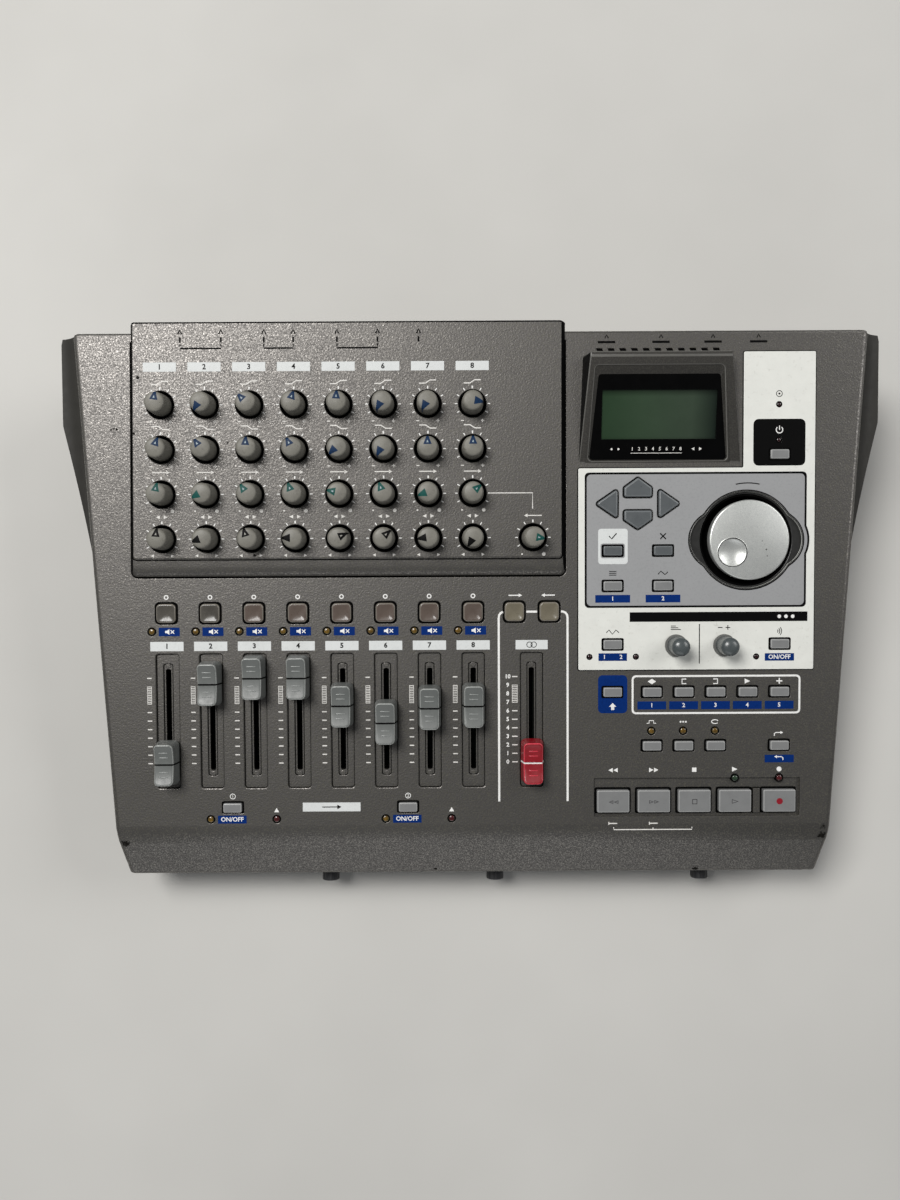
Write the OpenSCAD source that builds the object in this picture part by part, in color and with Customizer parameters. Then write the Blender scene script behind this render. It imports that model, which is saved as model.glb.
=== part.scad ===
// Desktop multitrack recorder. Millimetres. X right, Y to the back, Z up.
// The top panel is laid out in its own plane: u along X, v up the slope from the front crease, w out of the panel.

/* [Case] */
// Height of the rubber feet
foot_h = 5; // [3:0.5:8]
// Slope of the top panel in degrees
slope = 7; // [4:0.5:12]
// Height of the front crease
crease_z = 45; // [40:0.5:55]
// Panel length from crease to rear edge
panel_l = 262.5; // [240:0.5:280]
// Half width of the panel at the crease
half_front = 187.8; // [170:0.1:200]
// Half width of the panel at the rear edge
half_rear = 205.4; // [190:0.1:215]
// Plate thickness of the top case
plate_t = 2.5; // [2:0.1:4]
// Depth of the top case skirt
skirt = 16; // [12:0.5:22]
// How far the front lip runs forward
lip_run = 24; // [16:0.5:30]
// How far the front lip drops
lip_drop = 10.6; // [6:0.1:16]
// Half width of the case over the side wings
wing_half = 217.3; // [208:0.1:225]

/* [Mixer block] */
// Height of the mixer block over the panel
mixer_h = 5; // [3:0.5:8]
// Left edge of the mixer block
mixer_x0 = -174.5; // [-180:0.5:-165]
// Right edge of the mixer block
mixer_x1 = 46.8; // [40:0.1:52]
// Channel pitch
pitch = 22.9; // [20:0.1:25]
// First channel
chan_x0 = -159.7; // [-165:0.1:-150]
// First knob row up the slope
row_v0 = 155.8; // [150:0.1:160]
// Return knob position
return_x = 31.5; // [25:0.1:36]
// Diameter of the knob holes
knob_hole_d = 14.4; // [13:0.1:16]

/* [Faders] */
// Fader travel
travel = 45; // [30:1:60]
// Scale zero up the slope
scale_v0 = 38.7; // [34:0.1:44]
// Master fader position
master_x = 31.2; // [28:0.1:36]
// Slot width in the panel
slot_w = 2.8; // [2:0.1:4]

/* [Dial] */
// Dial radius
dial_r = 20.9; // [18:0.1:24]
// Dial centre across
dial_x = 143.6; // [138:0.1:150]
// Dial centre up the slope
dial_v = 154; // [148:0.1:160]

/* [Hidden] */
$fn = 48;
crease_y = -119.55;
mixer_lip = 8.3;
mixer_v0 = 136.4;
mixer_v1 = 265.8;
plate_w = 0.6;
track_v = 117.2;
key_w = 10.3;
key_d = 5.3;
key_gap = 0.65;
key_up = 1.7;
pod_v0 = 194.4;
pod_l = 53.5;
pod_rise = 8;
pod_a = atan(pod_rise / pod_l);
jack_z = 37;
front_z = 15.6;
rear_y = crease_y + 262.4;
front_y = crease_y - 17;
knob_names = ["pan", "send", "eq_low", "eq_high"];
// rest angle of each rotary control, clockwise from straight up, by row
rest_pan = [5, -110, -17, -90, 65, 48, -98, -150];
rest_send = [10, -118, -34, -20, -78, -20, -110, 50];
rest_low = [18, -35, 2, -27, -135, -150, 0, 0];
rest_high = [8, -145, -45, 17, 3, -150, -150, 100];
rest_return = 100;
// rest height of each fader over zero
rest_fader = [0.5, 42, 45, 45, 30.5, 21.5, 29, 30, 0.5];
small_keys = [[-126.3, 14.7], [-34, 14.7], [73.5, 148.7], [99.7, 148.7], [73.5, 130.4], [99.7, 130.4], [73.5, 99.8], [160.8, 99.8], [73.5, 74.8], [94.2, 74.7], [110.9, 74.7], [127.6, 74.7], [144.3, 74.7], [161, 74.7], [94.2, 46.4], [110.9, 46.4], [127.6, 46.4], [161, 46.4], [160.1, 198.4]];
transport_x = [73.9, 95.3, 116.6, 137.9, 161.2];
transport_v = 17.1;
led_at = concat([for (i = [0:7]) [chan_x0 + pitch * i - 7.8, 107.6]], [[-138, 8.4], [-45.8, 8.4], [-103.3, 8.4], [-11.1, 8.4], [61.4, 93.3], [85.7, 93.3], [148.6, 93.1], [94, 54.1], [110.7, 54.1], [127.4, 54.1], [138, 29], [161.3, 29], [159.7, 224.1], [159.7, 205.8]]);
encoder_x = [106.5, 131.7];
encoder_v = 99.2;
phone_rear_x = [-149, -128, -68.6, -47.8, -26.8];
phono_x = [-106, -91];
optical_x = 70.3;
din_x = 98.5;
dc_x = 125.4;
power_x = 149;
phone_front_x = [-101, -10, 150];
front_knob_x = [-78.4, 12.8, 126.4];
screw_at = [[-177, 12], [177, 12], [-184, 122], [184, 122], [-191, 238], [191, 238]];
foot_at = [[-160, 14], [160, 14], [-172, 232], [172, 232]];

function chan_x(i) = chan_x0 + pitch * i;
function fader_x(i) = i < 8 ? chan_x(i) : master_x;
function half_at(v) = half_front + (half_rear - half_front) * v / panel_l;
function corner(w, h, r, n = 4) = [for (c = [0:3]) for (k = [0:n]) let(a = 90 * c + 90 * k / n) [((c == 0 || c == 3) ? 1 : -1) * (w / 2 - r) + r * cos(a), (c < 2 ? 1 : -1) * (h / 2 - r) + r * sin(a)]];
function dome(r, z, a, b, n = 5) = [for (k = [0:n]) let(t = 90 * k / n) [r - a + a * cos(t), z + b * sin(t)]];

module on_panel(u = 0, v = 0, w = 0) { translate([0, crease_y, crease_z]) rotate([slope, 0, 0]) translate([u, v, w]) children(); }
module plate(h, z = 0) { translate([0, 0, z]) linear_extrude(height = h) children(); }
module rr(w, h, r) { polygon(corner(w, h, r)); }
// a profile in v and w, drawn along u
module along_u(u0, u1) { translate([u0, 0, 0]) rotate([90, 0, 90]) linear_extrude(height = u1 - u0) children(); }
// a profile in u and w, drawn along v
module along_v(v0, v1) { translate([0, v1, 0]) rotate([90, 0, 0]) linear_extrude(height = v1 - v0) children(); }

module plan(inset = 0, v0 = 0, v1 = panel_l) { polygon([[-half_at(v0) + inset, v0], [half_at(v0) - inset, v0], [half_at(v1) - inset, v1], [-half_at(v1) + inset, v1]]); }

module cursor_shapes(s = 1) {
    translate([86.5, 180.5]) scale(s) polygon([[-7.6, -4.1], [7.6, -4.1], [7.6, 1], [0, 6.5], [-7.6, 1]]);
    translate([86.5, 165.7]) scale(s) polygon([[-7.6, 4.1], [7.6, 4.1], [7.6, -1], [0, -6.2], [-7.6, -1]]);
    translate([71.6, 173.1]) scale(s) polygon([[-7.4, 0], [4.6, 8.2], [4.6, -8.2]]);
    translate([101.6, 173.1]) scale(s) polygon([[7.2, 0], [-4.6, 8.2], [-4.6, -8.2]]);
}
module key_openings() {
    for (k = small_keys) translate(k) rr(key_w + 2 * key_gap, key_d + 2 * key_gap, 0.9);
    cursor_shapes(1.12);
}
module track_openings() {
    for (i = [0:7]) translate([chan_x(i), track_v]) rr(12, 11.8, 1.4);
    for (x = [22.2, 40.4]) translate([x, track_v]) rr(12, 11.8, 1.4);
}
module transport_openings() { for (x = transport_x) translate([x, transport_v]) rr(18.9, 13.7, 1.2); }
module led_openings() { for (p = led_at) translate(p) circle(r = 1.75); }
module well_shape(e = 0) {
    translate([dial_x, dial_v]) { circle(r = 25.2 + e); translate([-14.8, 0]) circle(r = 14.5 + e); translate([14.8, 0]) circle(r = 14.5 + e); }
}
module encoder_openings() { for (x = encoder_x) translate([x, encoder_v]) circle(r = 4.6); }
module pod_plan(e = 0) { polygon([[56 + e, pod_v0 + e * 0.5], [139.8 - e, pod_v0 + e * 0.5], [133.6 - e, pod_v0 + 55 - e], [61.2 + e, pod_v0 + 55 - e]]); }
module through_openings() {
    key_openings();
    track_openings();
    transport_openings();
    led_openings();
    encoder_openings();
    translate([dial_x, dial_v]) circle(r = 23);
    translate([-64, 200.5]) square([208, 116], center = true);
    pod_plan(1.6);
    for (i = [0:10]) translate([67.4 + 6.05 * i, 251]) square([3, 1.8], center = true);
}

module top_case() color([0.38, 0.37, 0.36]) {
    difference() {
        union() {
            on_panel() {
                // plate in three layers: fader trays, fader grooves, slots
                plate(0.7, -0.7) difference() {
                    plan();
                    through_openings();
                    well_shape();
                    for (i = [0:8]) translate([fader_x(i), 60.4]) rr(12, 71, 1.5);
                    translate([118, 19]) rr(108.4, 20.4, 1);
                }
                plate(0.7, -1.4) difference() {
                    plan();
                    through_openings();
                    well_shape();
                    for (i = [0:8]) translate([fader_x(i), 61]) rr(5, 59.4, 1.2);
                }
                plate(plate_t - 1.4, -plate_t) difference() {
                    plan();
                    through_openings();
                    for (i = [0:8]) translate([fader_x(i), 61]) rr(slot_w, 53.6, 1);
                }
                // side and rear walls
                plate(skirt, -skirt) difference() { plan(); plan(plate_t, -1, panel_l - plate_t); }
                // front lip
                intersection() {
                    plate(skirt + 1, -skirt) polygon([[-half_front, 0], [-184.4, -lip_run], [184.4, -lip_run], [half_front, 0]]);
                    along_u(-190, 190) polygon([[0, 0], [-lip_run, -lip_drop], [-lip_run, -skirt], [-18, -skirt], [-18, -lip_drop - 0.2], [0, -plate_t - 0.3]]);
                }
                plate(skirt, -skirt) for (s = [-1, 1]) polygon([[s * half_front, 0.5], [s * 184.4, -lip_run + 4], [s * 182, -lip_run + 4], [s * (half_front - plate_t), 0.5]]);
                // cup under the dial
                translate([dial_x, dial_v, 0]) {
                    plate(7, -9) difference() { circle(r = 24.6); circle(r = 22.6); }
                    plate(1.5, -9.5) difference() { circle(r = 24.6); circle(r = 5.2); }
                }
                // display pod
                difference() {
                    intersection() {
                        plate(12, -plate_t) pod_plan();
                        along_u(50, 145) polygon([[pod_v0, -plate_t], [pod_v0, 0.2], [pod_v0 + pod_l, pod_rise], [pod_v0 + 55, pod_rise], [pod_v0 + 55, -plate_t]]);
                    }
                    intersection() {
                        plate(12, -4) pod_plan(2);
                        along_u(50, 145) polygon([[pod_v0 + 1, -5], [pod_v0 + 1, -3.2], [pod_v0 + pod_l - 2, pod_rise - 3.4], [pod_v0 + 53, pod_rise - 3.4], [pod_v0 + 53, -5]]);
                    }
                    translate([0, pod_v0, 0]) rotate([pod_a, 0, 0]) {
                        plate(4, -1.6) polygon([[61.4, 1.8], [132.2, 1.8], [128.2, 45], [64.6, 45]]);
                        plate(8, -5) polygon([[66, 5], [127.6, 5], [125.4, 41], [68.4, 41]]);
                    }
                }
            }
            // screw bosses
            for (p = screw_at) translate([p[0], crease_y + p[1], crease_z + p[1] * tan(slope) - 18]) cylinder(r = 3.8, h = 16.6);
        }
        for (p = screw_at) translate([p[0], crease_y + p[1], crease_z + p[1] * tan(slope) - 19]) cylinder(r = 1.6, h = 14);
        // front lip is relieved over the side walls
        on_panel() along_u(-200, 200) polygon([[0.6, 0], [-lip_run - 2, -lip_drop - 0.62], [-lip_run - 2, 4], [0.6, 4]]);
    }
}

module wing(s) {
    // plan of the wing
    intersection() {
        on_panel() plate(40, -38) polygon([[s * (half_at(136) - 2.4), 136], [s * (half_at(140) + 0.4), 140], [s * wing_half, 221.5], [s * wing_half, 259.2], [s * (half_rear + 0.2), 261.6], [s * (half_rear - 3), 261.6]]);
        on_panel(s * half_front, 0, 0) rotate([0, 0, -s * atan((half_rear - half_front) / panel_l)]) along_v(100, 275) polygon([[s * -1.8, -skirt - 0.2], [s * 0.25, -skirt - 0.2], [s * 0.25, -7], [s * 3.5, -10.2], [s * 8, -12], [s * 25, -13.4], [s * 25, -28], [s * -1.8, -36]]);
    }
}

module bottom_case() color([0.26, 0.26, 0.26]) difference() {
    union() {
        difference() {
            intersection() {
                translate([0, 0, foot_h]) linear_extrude(height = 70) polygon([[-204.4, rear_y], [204.4, rear_y], [185.4, front_y], [-185.4, front_y]]);
                on_panel(0, 120, -skirt - 60) cube([500, 400, 120], center = true);
            }
            translate([0, 0, foot_h + 3]) linear_extrude(height = 80) polygon([[-201.4, rear_y - 3], [201.4, rear_y - 3], [182.6, front_y + 3], [-182.6, front_y + 3]]);
        }
        wing(-1);
        wing(1);
        for (p = screw_at) translate([p[0], crease_y + p[1], foot_h]) cylinder(r = 4.6, h = crease_z + p[1] * tan(slope) - 18 - foot_h);
        // standoffs for the main board
        for (x = [-132, 132], y = [-70, 70]) translate([x, y, foot_h]) cylinder(r = 3.5, h = 8);
    }
    for (p = screw_at) translate([p[0], crease_y + p[1], 0]) { cylinder(r = 1.8, h = 90); cylinder(r = 3.3, h = foot_h + 6); }
    for (x = phone_rear_x) translate([x, rear_y + 1, jack_z]) rotate([90, 0, 0]) cylinder(r = 5.3, h = 6);
    for (x = phono_x) translate([x, rear_y + 1, jack_z]) rotate([90, 0, 0]) cylinder(r = 4.6, h = 6);
    translate([din_x, rear_y + 1, jack_z]) rotate([90, 0, 0]) cylinder(r = 8, h = 6);
    translate([dc_x, rear_y + 1, jack_z]) rotate([90, 0, 0]) cylinder(r = 5, h = 6);
    translate([optical_x, rear_y - 2, jack_z]) cube([10.4, 8, 10.4], center = true);
    translate([power_x, rear_y - 2, jack_z]) cube([13.4, 8, 19.4], center = true);
    for (x = phone_front_x) translate([x, front_y + 5, front_z]) rotate([90, 0, 0]) cylinder(r = 5.3, h = 6);
    for (x = front_knob_x) translate([x, front_y + 5, front_z]) rotate([90, 0, 0]) cylinder(r = 3.9, h = 6);
}

module mixer_panel() color([0.46, 0.45, 0.44]) on_panel() difference() {
    union() {
        plate(plate_t, mixer_h - plate_t) difference() {
            polygon([[mixer_x0, mixer_v0 + mixer_lip], [mixer_x1, mixer_v0 + mixer_lip], [mixer_x1, mixer_v1], [mixer_x0, mixer_v1]]);
            for (i = [0:7], j = [0:3]) translate([chan_x(i), row_v0 + pitch * j]) circle(d = knob_hole_d);
            translate([return_x, row_v0]) circle(d = knob_hole_d);
        }
        plate(mixer_h) difference() {
            polygon([[mixer_x0, mixer_v0 + mixer_lip], [mixer_x1, mixer_v0 + mixer_lip], [mixer_x1, mixer_v1], [mixer_x0, mixer_v1]]);
            polygon([[mixer_x0 + 2.2, mixer_v0 + mixer_lip - 1], [mixer_x1 - 2.2, mixer_v0 + mixer_lip - 1], [mixer_x1 - 2.2, mixer_v1 - 2.4], [mixer_x0 + 2.2, mixer_v1 - 2.4]]);
        }
        along_u(mixer_x0, mixer_x1) polygon([[mixer_v0, 0], [mixer_v0, 0.9], [mixer_v0 + 2.2, 2.6], [mixer_v0 + mixer_lip, mixer_h], [mixer_v0 + mixer_lip, mixer_h - plate_t], [mixer_v0 + 4.4, 0]]);
    }
    // rounded front corners
    for (s = [0, 1]) translate([s ? mixer_x1 : mixer_x0, mixer_v0, -1]) rotate([0, 0, s ? 45 : -45]) cube([s ? 6 : 4, s ? 4 : 6, 20], center = true);
}

module control_plate() color([0.9, 0.9, 0.88]) on_panel() plate(plate_w) difference() {
    polygon([[55.6, 86.4], [178.6, 86.4], [178.6, 251.4], [141.4, 251.4], [141.4, 191.6], [55.6, 191.6]]);
    key_openings();
    led_openings();
    well_shape();
    encoder_openings();
}

module display_window() color([0.05, 0.06, 0.06]) on_panel(0, pod_v0, 0) rotate([pod_a, 0, 0]) {
    plate(1.15, -1.55) difference() {
        polygon([[61.7, 2.1], [131.9, 2.1], [127.9, 44.7], [64.9, 44.7]]);
        translate([96.8, 23.6]) square([58.6, 24.8], center = true);
    }
    // cell behind the window
    color([0.25, 0.33, 0.25]) plate(1.6, -2.6) translate([96.8, 23.6]) square([58.2, 24.4], center = true);
}

module pot_body(lo, hi) {
    difference() {
        union() { plate(6.5, lo) square([9.6, 11], center = true); plate(hi - lo - 6.5, lo + 6.5) circle(r = 4.3); }
        plate(hi - lo, lo + 0.8) circle(r = 3.08);
    }
}

module circuit_boards() color([0.1, 0.3, 0.16]) {
    on_panel() {
        // mixer board with its rotary pots
        plate(1.6, -13.1) translate([-64, 201.5]) square([206, 106], center = true);
        for (i = [0:7], j = [0:3]) translate([chan_x(i), row_v0 + pitch * j, 0]) pot_body(-11.45, -1);
        translate([return_x, row_v0, 0]) pot_body(-11.45, -1);
        // fader board with its slide pots
        plate(1.6, -21.6) translate([-62, 61]) square([212, 84], center = true);
        for (i = [0:8]) translate([fader_x(i), 61, 0]) difference() {
            plate(10.95, -19.95) square([9, 66], center = true);
            plate(10, -15) square([2.2, 52.4], center = true);
        }
        // key boards with their switches
        plate(1.6, -10.7) translate([-61.5, 115]) square([226, 22], center = true);
        for (x = concat([for (i = [0:7]) chan_x(i)], [22.2, 40.4])) translate([x, track_v, -9.05]) plate(3.65) square([6, 6], center = true);
        plate(1.6, -10.7) translate([-80, 12]) square([140, 12], center = true);
        plate(1.6, -10.7) difference() { translate([114.5, 98]) square([115, 188], center = true); translate([dial_x, dial_v]) circle(r = 26); for (x = encoder_x) translate([x, encoder_v]) square([12, 12], center = true); translate([60, 150]) square([4, 92], center = true); }
        for (k = small_keys) if (k[1] < 190) translate([k[0], k[1], -9.05]) plate(3.65) square([6, 4.6], center = true);
        for (p = [[86.5, 180.2], [86.5, 166], [72.9, 173.1], [100.3, 173.1]]) translate([p[0], p[1], -9.05]) plate(3.65) square([5, 5], center = true);
        for (x = transport_x) translate([x, transport_v, -9.05]) plate(3.65) square([6, 6], center = true);
        // power key board
        plate(1.6, -10.7) translate([160, 211]) square([26, 34], center = true);
        translate([160.1, 198.4, -9.05]) plate(3.65) square([6, 4.6], center = true);
        // light emitters
        for (p = led_at) translate([p[0], p[1], 0]) plate(9.25, -9.05) circle(r = 1.5);
        // encoders
        for (x = encoder_x) translate([x, encoder_v, 0]) pot_body(-12, -2.8);
        translate([dial_x, dial_v, 0]) pot_body(-19.95, -9.6);
        plate(1.6, -21.6) translate([dial_x, dial_v]) square([24, 24], center = true);
    }
    // front level pots
    for (x = front_knob_x) translate([x, front_y + 4, front_z]) rotate([90, 0, 0]) pot_body(-11.4, 0.6);
    // main board and drive
    translate([0, 0, foot_h + 8.8]) cube([284, 160, 1.6], center = true);
    translate([60, 10, foot_h + 14.45]) cube([100, 70, 9.6], center = true);
    translate([-50, 0, foot_h + 11.45]) cube([30, 30, 3.6], center = true);
}

// sockets are drawn with their mouth at y = 0, looking along +Y
module phone_socket() {
    difference() {
        union() {
            translate([-8, -25.8, -7.5]) cube([16, 22.6, 15]);
            rotate([90, 0, 0]) translate([0, 0, -2]) cylinder(r = 5, h = 6);
            translate([0, 0, 0]) rotate([-90, 0, 0]) cylinder(r = 7, h = 1.6, $fn = 6);
        }
        rotate([90, 0, 0]) translate([0, 0, -3]) cylinder(r = 3.2, h = 27);
    }
}
module phono_socket() {
    difference() {
        union() {
            translate([-6, -15.2, -6.5]) cube([12, 12, 13]);
            rotate([90, 0, 0]) translate([0, 0, -6]) cylinder(r = 4.2, h = 10);
        }
        rotate([90, 0, 0]) translate([0, 0, -7]) cylinder(r = 1.6, h = 13);
    }
}
module din_socket() {
    difference() {
        union() {
            translate([-10, -18.2, -9.5]) cube([20, 15, 19]);
            rotate([90, 0, 0]) translate([0, 0, -0.6]) cylinder(r = 7.7, h = 4.6);
        }
        rotate([90, 0, 0]) translate([0, 0, -1]) cylinder(r = 6.7, h = 10);
    }
    for (a = [-90:45:90]) translate([4.4 * sin(a), -9.2, 4.4 * cos(a) - 0.6]) rotate([-90, 0, 0]) cylinder(r = 0.7, h = 0.01 + 4);
}
module dc_socket() {
    difference() {
        union() { translate([-5.5, -15.2, -5.5]) cube([11, 12, 11]); rotate([90, 0, 0]) translate([0, 0, -0.4]) cylinder(r = 4.7, h = 4.4); }
        rotate([90, 0, 0]) translate([0, 0, -1]) cylinder(r = 3.1, h = 11);
    }
    translate([0, -10.1, 0]) rotate([-90, 0, 0]) cylinder(r = 0.9, h = 6);
}
module optical_socket() {
    difference() {
        union() { translate([-6.5, -16.2, -6]) cube([13, 13, 12]); translate([-4.9, -4, -4.9]) cube([9.8, 4.4, 9.8]); }
        translate([-3, -9, -3]) cube([6, 12, 6]);
    }
}
module power_switch() {
    difference() {
        union() { translate([-7.4, -18.2, -10.4]) cube([14.8, 15, 20.8]); translate([-6.4, -4, -9.4]) cube([12.8, 5, 18.8]); }
        translate([-5, -1, -7.8]) cube([10, 4, 15.6]);
    }
    translate([0, -1, 0]) rotate([90, 0, 90]) translate([0, 0, -4.6]) linear_extrude(height = 9.2) polygon([[0, -7.4], [0.6, -7.4], [1.6, 0], [3.2, 7.4], [0, 7.4]]);
}
module io_sockets() color([0.12, 0.12, 0.13]) {
    for (x = phone_rear_x) translate([x, rear_y, jack_z]) phone_socket();
    for (x = phono_x) translate([x, rear_y, jack_z]) phono_socket();
    translate([din_x, rear_y, jack_z]) din_socket();
    translate([dc_x, rear_y, jack_z]) dc_socket();
    translate([optical_x, rear_y, jack_z]) optical_socket();
    translate([power_x, rear_y, jack_z]) power_switch();
    for (x = phone_front_x) translate([x, front_y, front_z]) rotate([0, 0, 180]) phone_socket();
}

module rubber_feet() color([0.08, 0.08, 0.08]) for (p = foot_at) translate([p[0], crease_y + p[1], 0]) rotate_extrude() polygon([[0, 0], [7.4, 0], [8.2, 0.8], [8.6, foot_h], [0, foot_h]]);

module case_screws() color([0.6, 0.6, 0.62]) for (p = screw_at) translate([p[0], crease_y + p[1], foot_h + 6]) difference() {
    union() { translate([0, 0, -2]) cylinder(r = 2.9, h = 2); cylinder(r = 1.5, h = crease_z + p[1] * tan(slope) - 18 - foot_h + 1); }
    translate([0, 0, -2]) for (a = [0, 90]) rotate([0, 0, a]) cube([3.6, 0.8, 2], center = true);
}

// rotary cap and shaft, drawn from the mixer top
module knob(angle) {
    rotate([0, 0, -angle]) difference() {
        rotate_extrude() polygon(concat([[0, 3.6], [3.1, 3.6], [3.1, -4], [5.6, -4], [5.6, 1]], dome(5.1, 8.6, 2, 2.2), [[0, 11]]));
        plate(2, 10.3) polygon([[-1.5, 0.6], [1.5, 0.6], [0, 6.4]]);
    }
    plate(18.85, -15.3) circle(r = 3);
}
module knob_at(i, j, angle) { on_panel(chan_x(i), row_v0 + pitch * j, mixer_h) knob(angle); }
module pan(i) color([0.58, 0.57, 0.55]) knob_at(i, 0, rest_pan[i]);
module send(i) color([0.58, 0.57, 0.55]) knob_at(i, 1, rest_send[i]);
module eq_low(i) color([0.58, 0.57, 0.55]) knob_at(i, 2, rest_low[i]);
module eq_high(i) color([0.58, 0.57, 0.55]) knob_at(i, 3, rest_high[i]);
module effect_return_knob() color([0.58, 0.57, 0.55]) on_panel(return_x, row_v0, mixer_h) knob(rest_return);

// fader cap and lever, drawn from the panel over its line
module fader(i) color(i < 8 ? [0.55, 0.56, 0.57] : [0.66, 0.12, 0.17]) on_panel(fader_x(i), scale_v0 + rest_fader[i], 0) {
    difference() {
        union() {
            difference() {
                intersection() {
                    plate(12, 0.8) rr(11.8, 23.2, 2.6);
                    along_u(-7, 7) polygon([[-11.7, 0], [11.7, 0], [11.7, 3], [10.5, 10.6], [-10.5, 10.6], [-11.7, 3]]);
                    along_v(-13, 13) polygon([[-5.9, 0], [5.9, 0], [5.9, 2], [4.8, 11], [-4.8, 11], [-5.9, 2]]);
                }
                translate([0, 0, 32.1]) rotate([0, 90, 0]) cylinder(r = 23.6, h = 20, center = true, $fn = 96);
            }
            for (p = [[3.4, 9], [6.2, 9.6], [-3.4, 9], [-6.2, 9.6]]) translate([-2.6, p[0] - 0.3, 7.5]) cube([5.2, 0.6, p[1] - 7.5]);
        }
        translate([-8, -0.45, 8]) cube([16, 0.9, 4]);
    }
    plate(13.15, -12.4) square([1.4, 5], center = true);
}

module data_dial() color([0.78, 0.78, 0.77]) on_panel(dial_x, dial_v, 0) {
    difference() {
        rotate_extrude($fn = 96) polygon(concat([[0, -6.5], [7, -6.5], [7, -1], [20.2, -1], [dial_r - 0.1, 0]], dome(dial_r, 3.9, 1, 1.1), [[0, 5.4]]));
        translate([-8, -6.8, 15.1]) sphere(r = 12, $fn = 96);
    }
    plate(9.95, -16.5) circle(r = 3);
}
module encoder_knob(k) color([0.42, 0.45, 0.48]) on_panel(encoder_x[k], encoder_v, 0) {
    rotate_extrude() polygon(concat([[0, 1], [5.8, 1], [5.8, 2.2]], dome(4.75, 11.4, 4.75, 3, 8)));
    plate(8.95, -8) circle(r = 3);
}
module front_knob(k) color([0.1, 0.1, 0.11]) translate([front_knob_x[k], front_y, front_z]) rotate([90, 0, 0]) {
    difference() {
        rotate_extrude() polygon([[0, 0.6], [4.2, 0.6], [4.7, 1.2], [4.6, 11.4], [4, 12.2], [0, 12.3]]);
        translate([-0.35, 3.6, 3]) cube([0.7, 2, 12]);
    }
    plate(11.55, -11) circle(r = 3);
}

// key caps are drawn from the panel; each has a flange under the plate
module key_body(up, h) { plate(up + plate_t + 0.6, -plate_t - 0.6) children(); }
module track_buttons() color([0.6, 0.58, 0.57]) on_panel() for (x = concat([for (i = [0:7]) chan_x(i)], [22.2, 40.4])) translate([x, track_v, 0]) {
    plate(4.4, -3) rr(10.9, 10.7, 1);
    plate(1, -4) rr(13.6, 13.4, 1.4);
}
module function_keys() color([0.6, 0.6, 0.61]) on_panel() {
    for (k = small_keys) translate([k[0], k[1], 0]) { plate(3 + key_up + plate_w, -3) rr(key_w, key_d, 0.6); plate(1, -4) rr(key_w + 2.8, key_d + 2.4, 0.8); }
    plate(5.4, -3) cursor_shapes(1);
    plate(1, -4) cursor_shapes(0.9);
}
module transport_keys() color([0.6, 0.6, 0.61]) on_panel() for (x = transport_x) translate([x, transport_v, 0]) {
    plate(5.2, -3) rr(17.7, 12.5, 0.8);
    plate(1, -4) rr(19.6, 15.6, 1);
}

bottom_case();
top_case();
mixer_panel();
control_plate();
display_window();
circuit_boards();
io_sockets();
rubber_feet();
case_screws();
for (i = [0:7]) fader(i);
fader(8);  // channel_master_fader
data_dial();
encoder_knob(0);  // encoder_type
encoder_knob(1);  // encoder_value
track_buttons();
function_keys();
transport_keys();
front_knob(0);  // front_level_a
front_knob(1);  // front_level_b
front_knob(2);  // front_level_phones
effect_return_knob();
for (i = [0:7]) pan(i);
for (i = [0:7]) send(i);
for (i = [0:7]) eq_low(i);
for (i = [0:7]) eq_high(i);
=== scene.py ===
import bpy
import bmesh
from math import sin, cos, tan, atan, atan2, pi, radians, sqrt
from mathutils import Vector, Matrix
from mathutils.geometry import delaunay_2d_cdt


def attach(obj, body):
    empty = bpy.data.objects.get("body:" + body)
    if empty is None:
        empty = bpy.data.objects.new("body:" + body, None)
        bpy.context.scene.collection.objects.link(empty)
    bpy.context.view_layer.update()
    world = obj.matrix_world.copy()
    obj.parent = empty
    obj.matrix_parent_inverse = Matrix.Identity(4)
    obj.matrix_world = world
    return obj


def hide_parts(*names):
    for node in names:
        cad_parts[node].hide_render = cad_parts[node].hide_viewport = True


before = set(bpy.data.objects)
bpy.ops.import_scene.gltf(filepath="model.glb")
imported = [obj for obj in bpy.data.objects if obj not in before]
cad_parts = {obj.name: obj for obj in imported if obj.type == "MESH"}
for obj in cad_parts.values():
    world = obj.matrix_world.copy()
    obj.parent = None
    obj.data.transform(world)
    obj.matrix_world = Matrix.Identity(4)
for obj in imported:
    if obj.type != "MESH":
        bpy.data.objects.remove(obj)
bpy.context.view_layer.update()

# ---------------------------------------------------------------- frame of the top panel, in millimetres
SLOPE = radians(7)
CY, CZ = -119.55, 45.0
REAR_Y, FRONT_Y, JACK_Z, FRONT_Z = CY + 262.4, CY - 17.0, 37.0, 15.6
MM = Matrix.Scale(0.001, 4)
PANEL = MM @ Matrix.Translation((0, CY, CZ)) @ Matrix.Rotation(SLOPE, 4, "X")
POD_V0, POD_L, POD_RISE = 194.4, 53.5, 8.0
POD = PANEL @ Matrix.Translation((0, POD_V0, 0)) @ Matrix.Rotation(atan(POD_RISE / POD_L), 4, "X")
WORLD = MM
PITCH, CH0, ROW0 = 22.9, -159.7, 155.8
MIX_W = 5.0
MASTER_X, RETURN_X = 31.2, 31.5
DIAL = (143.6, 154.0)
WELL = (143.0, 154.0)
FADER_V0 = 38.7
REST_FADER = [0.5, 42, 45, 45, 30.5, 21.5, 29, 30, 0.5]
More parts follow.
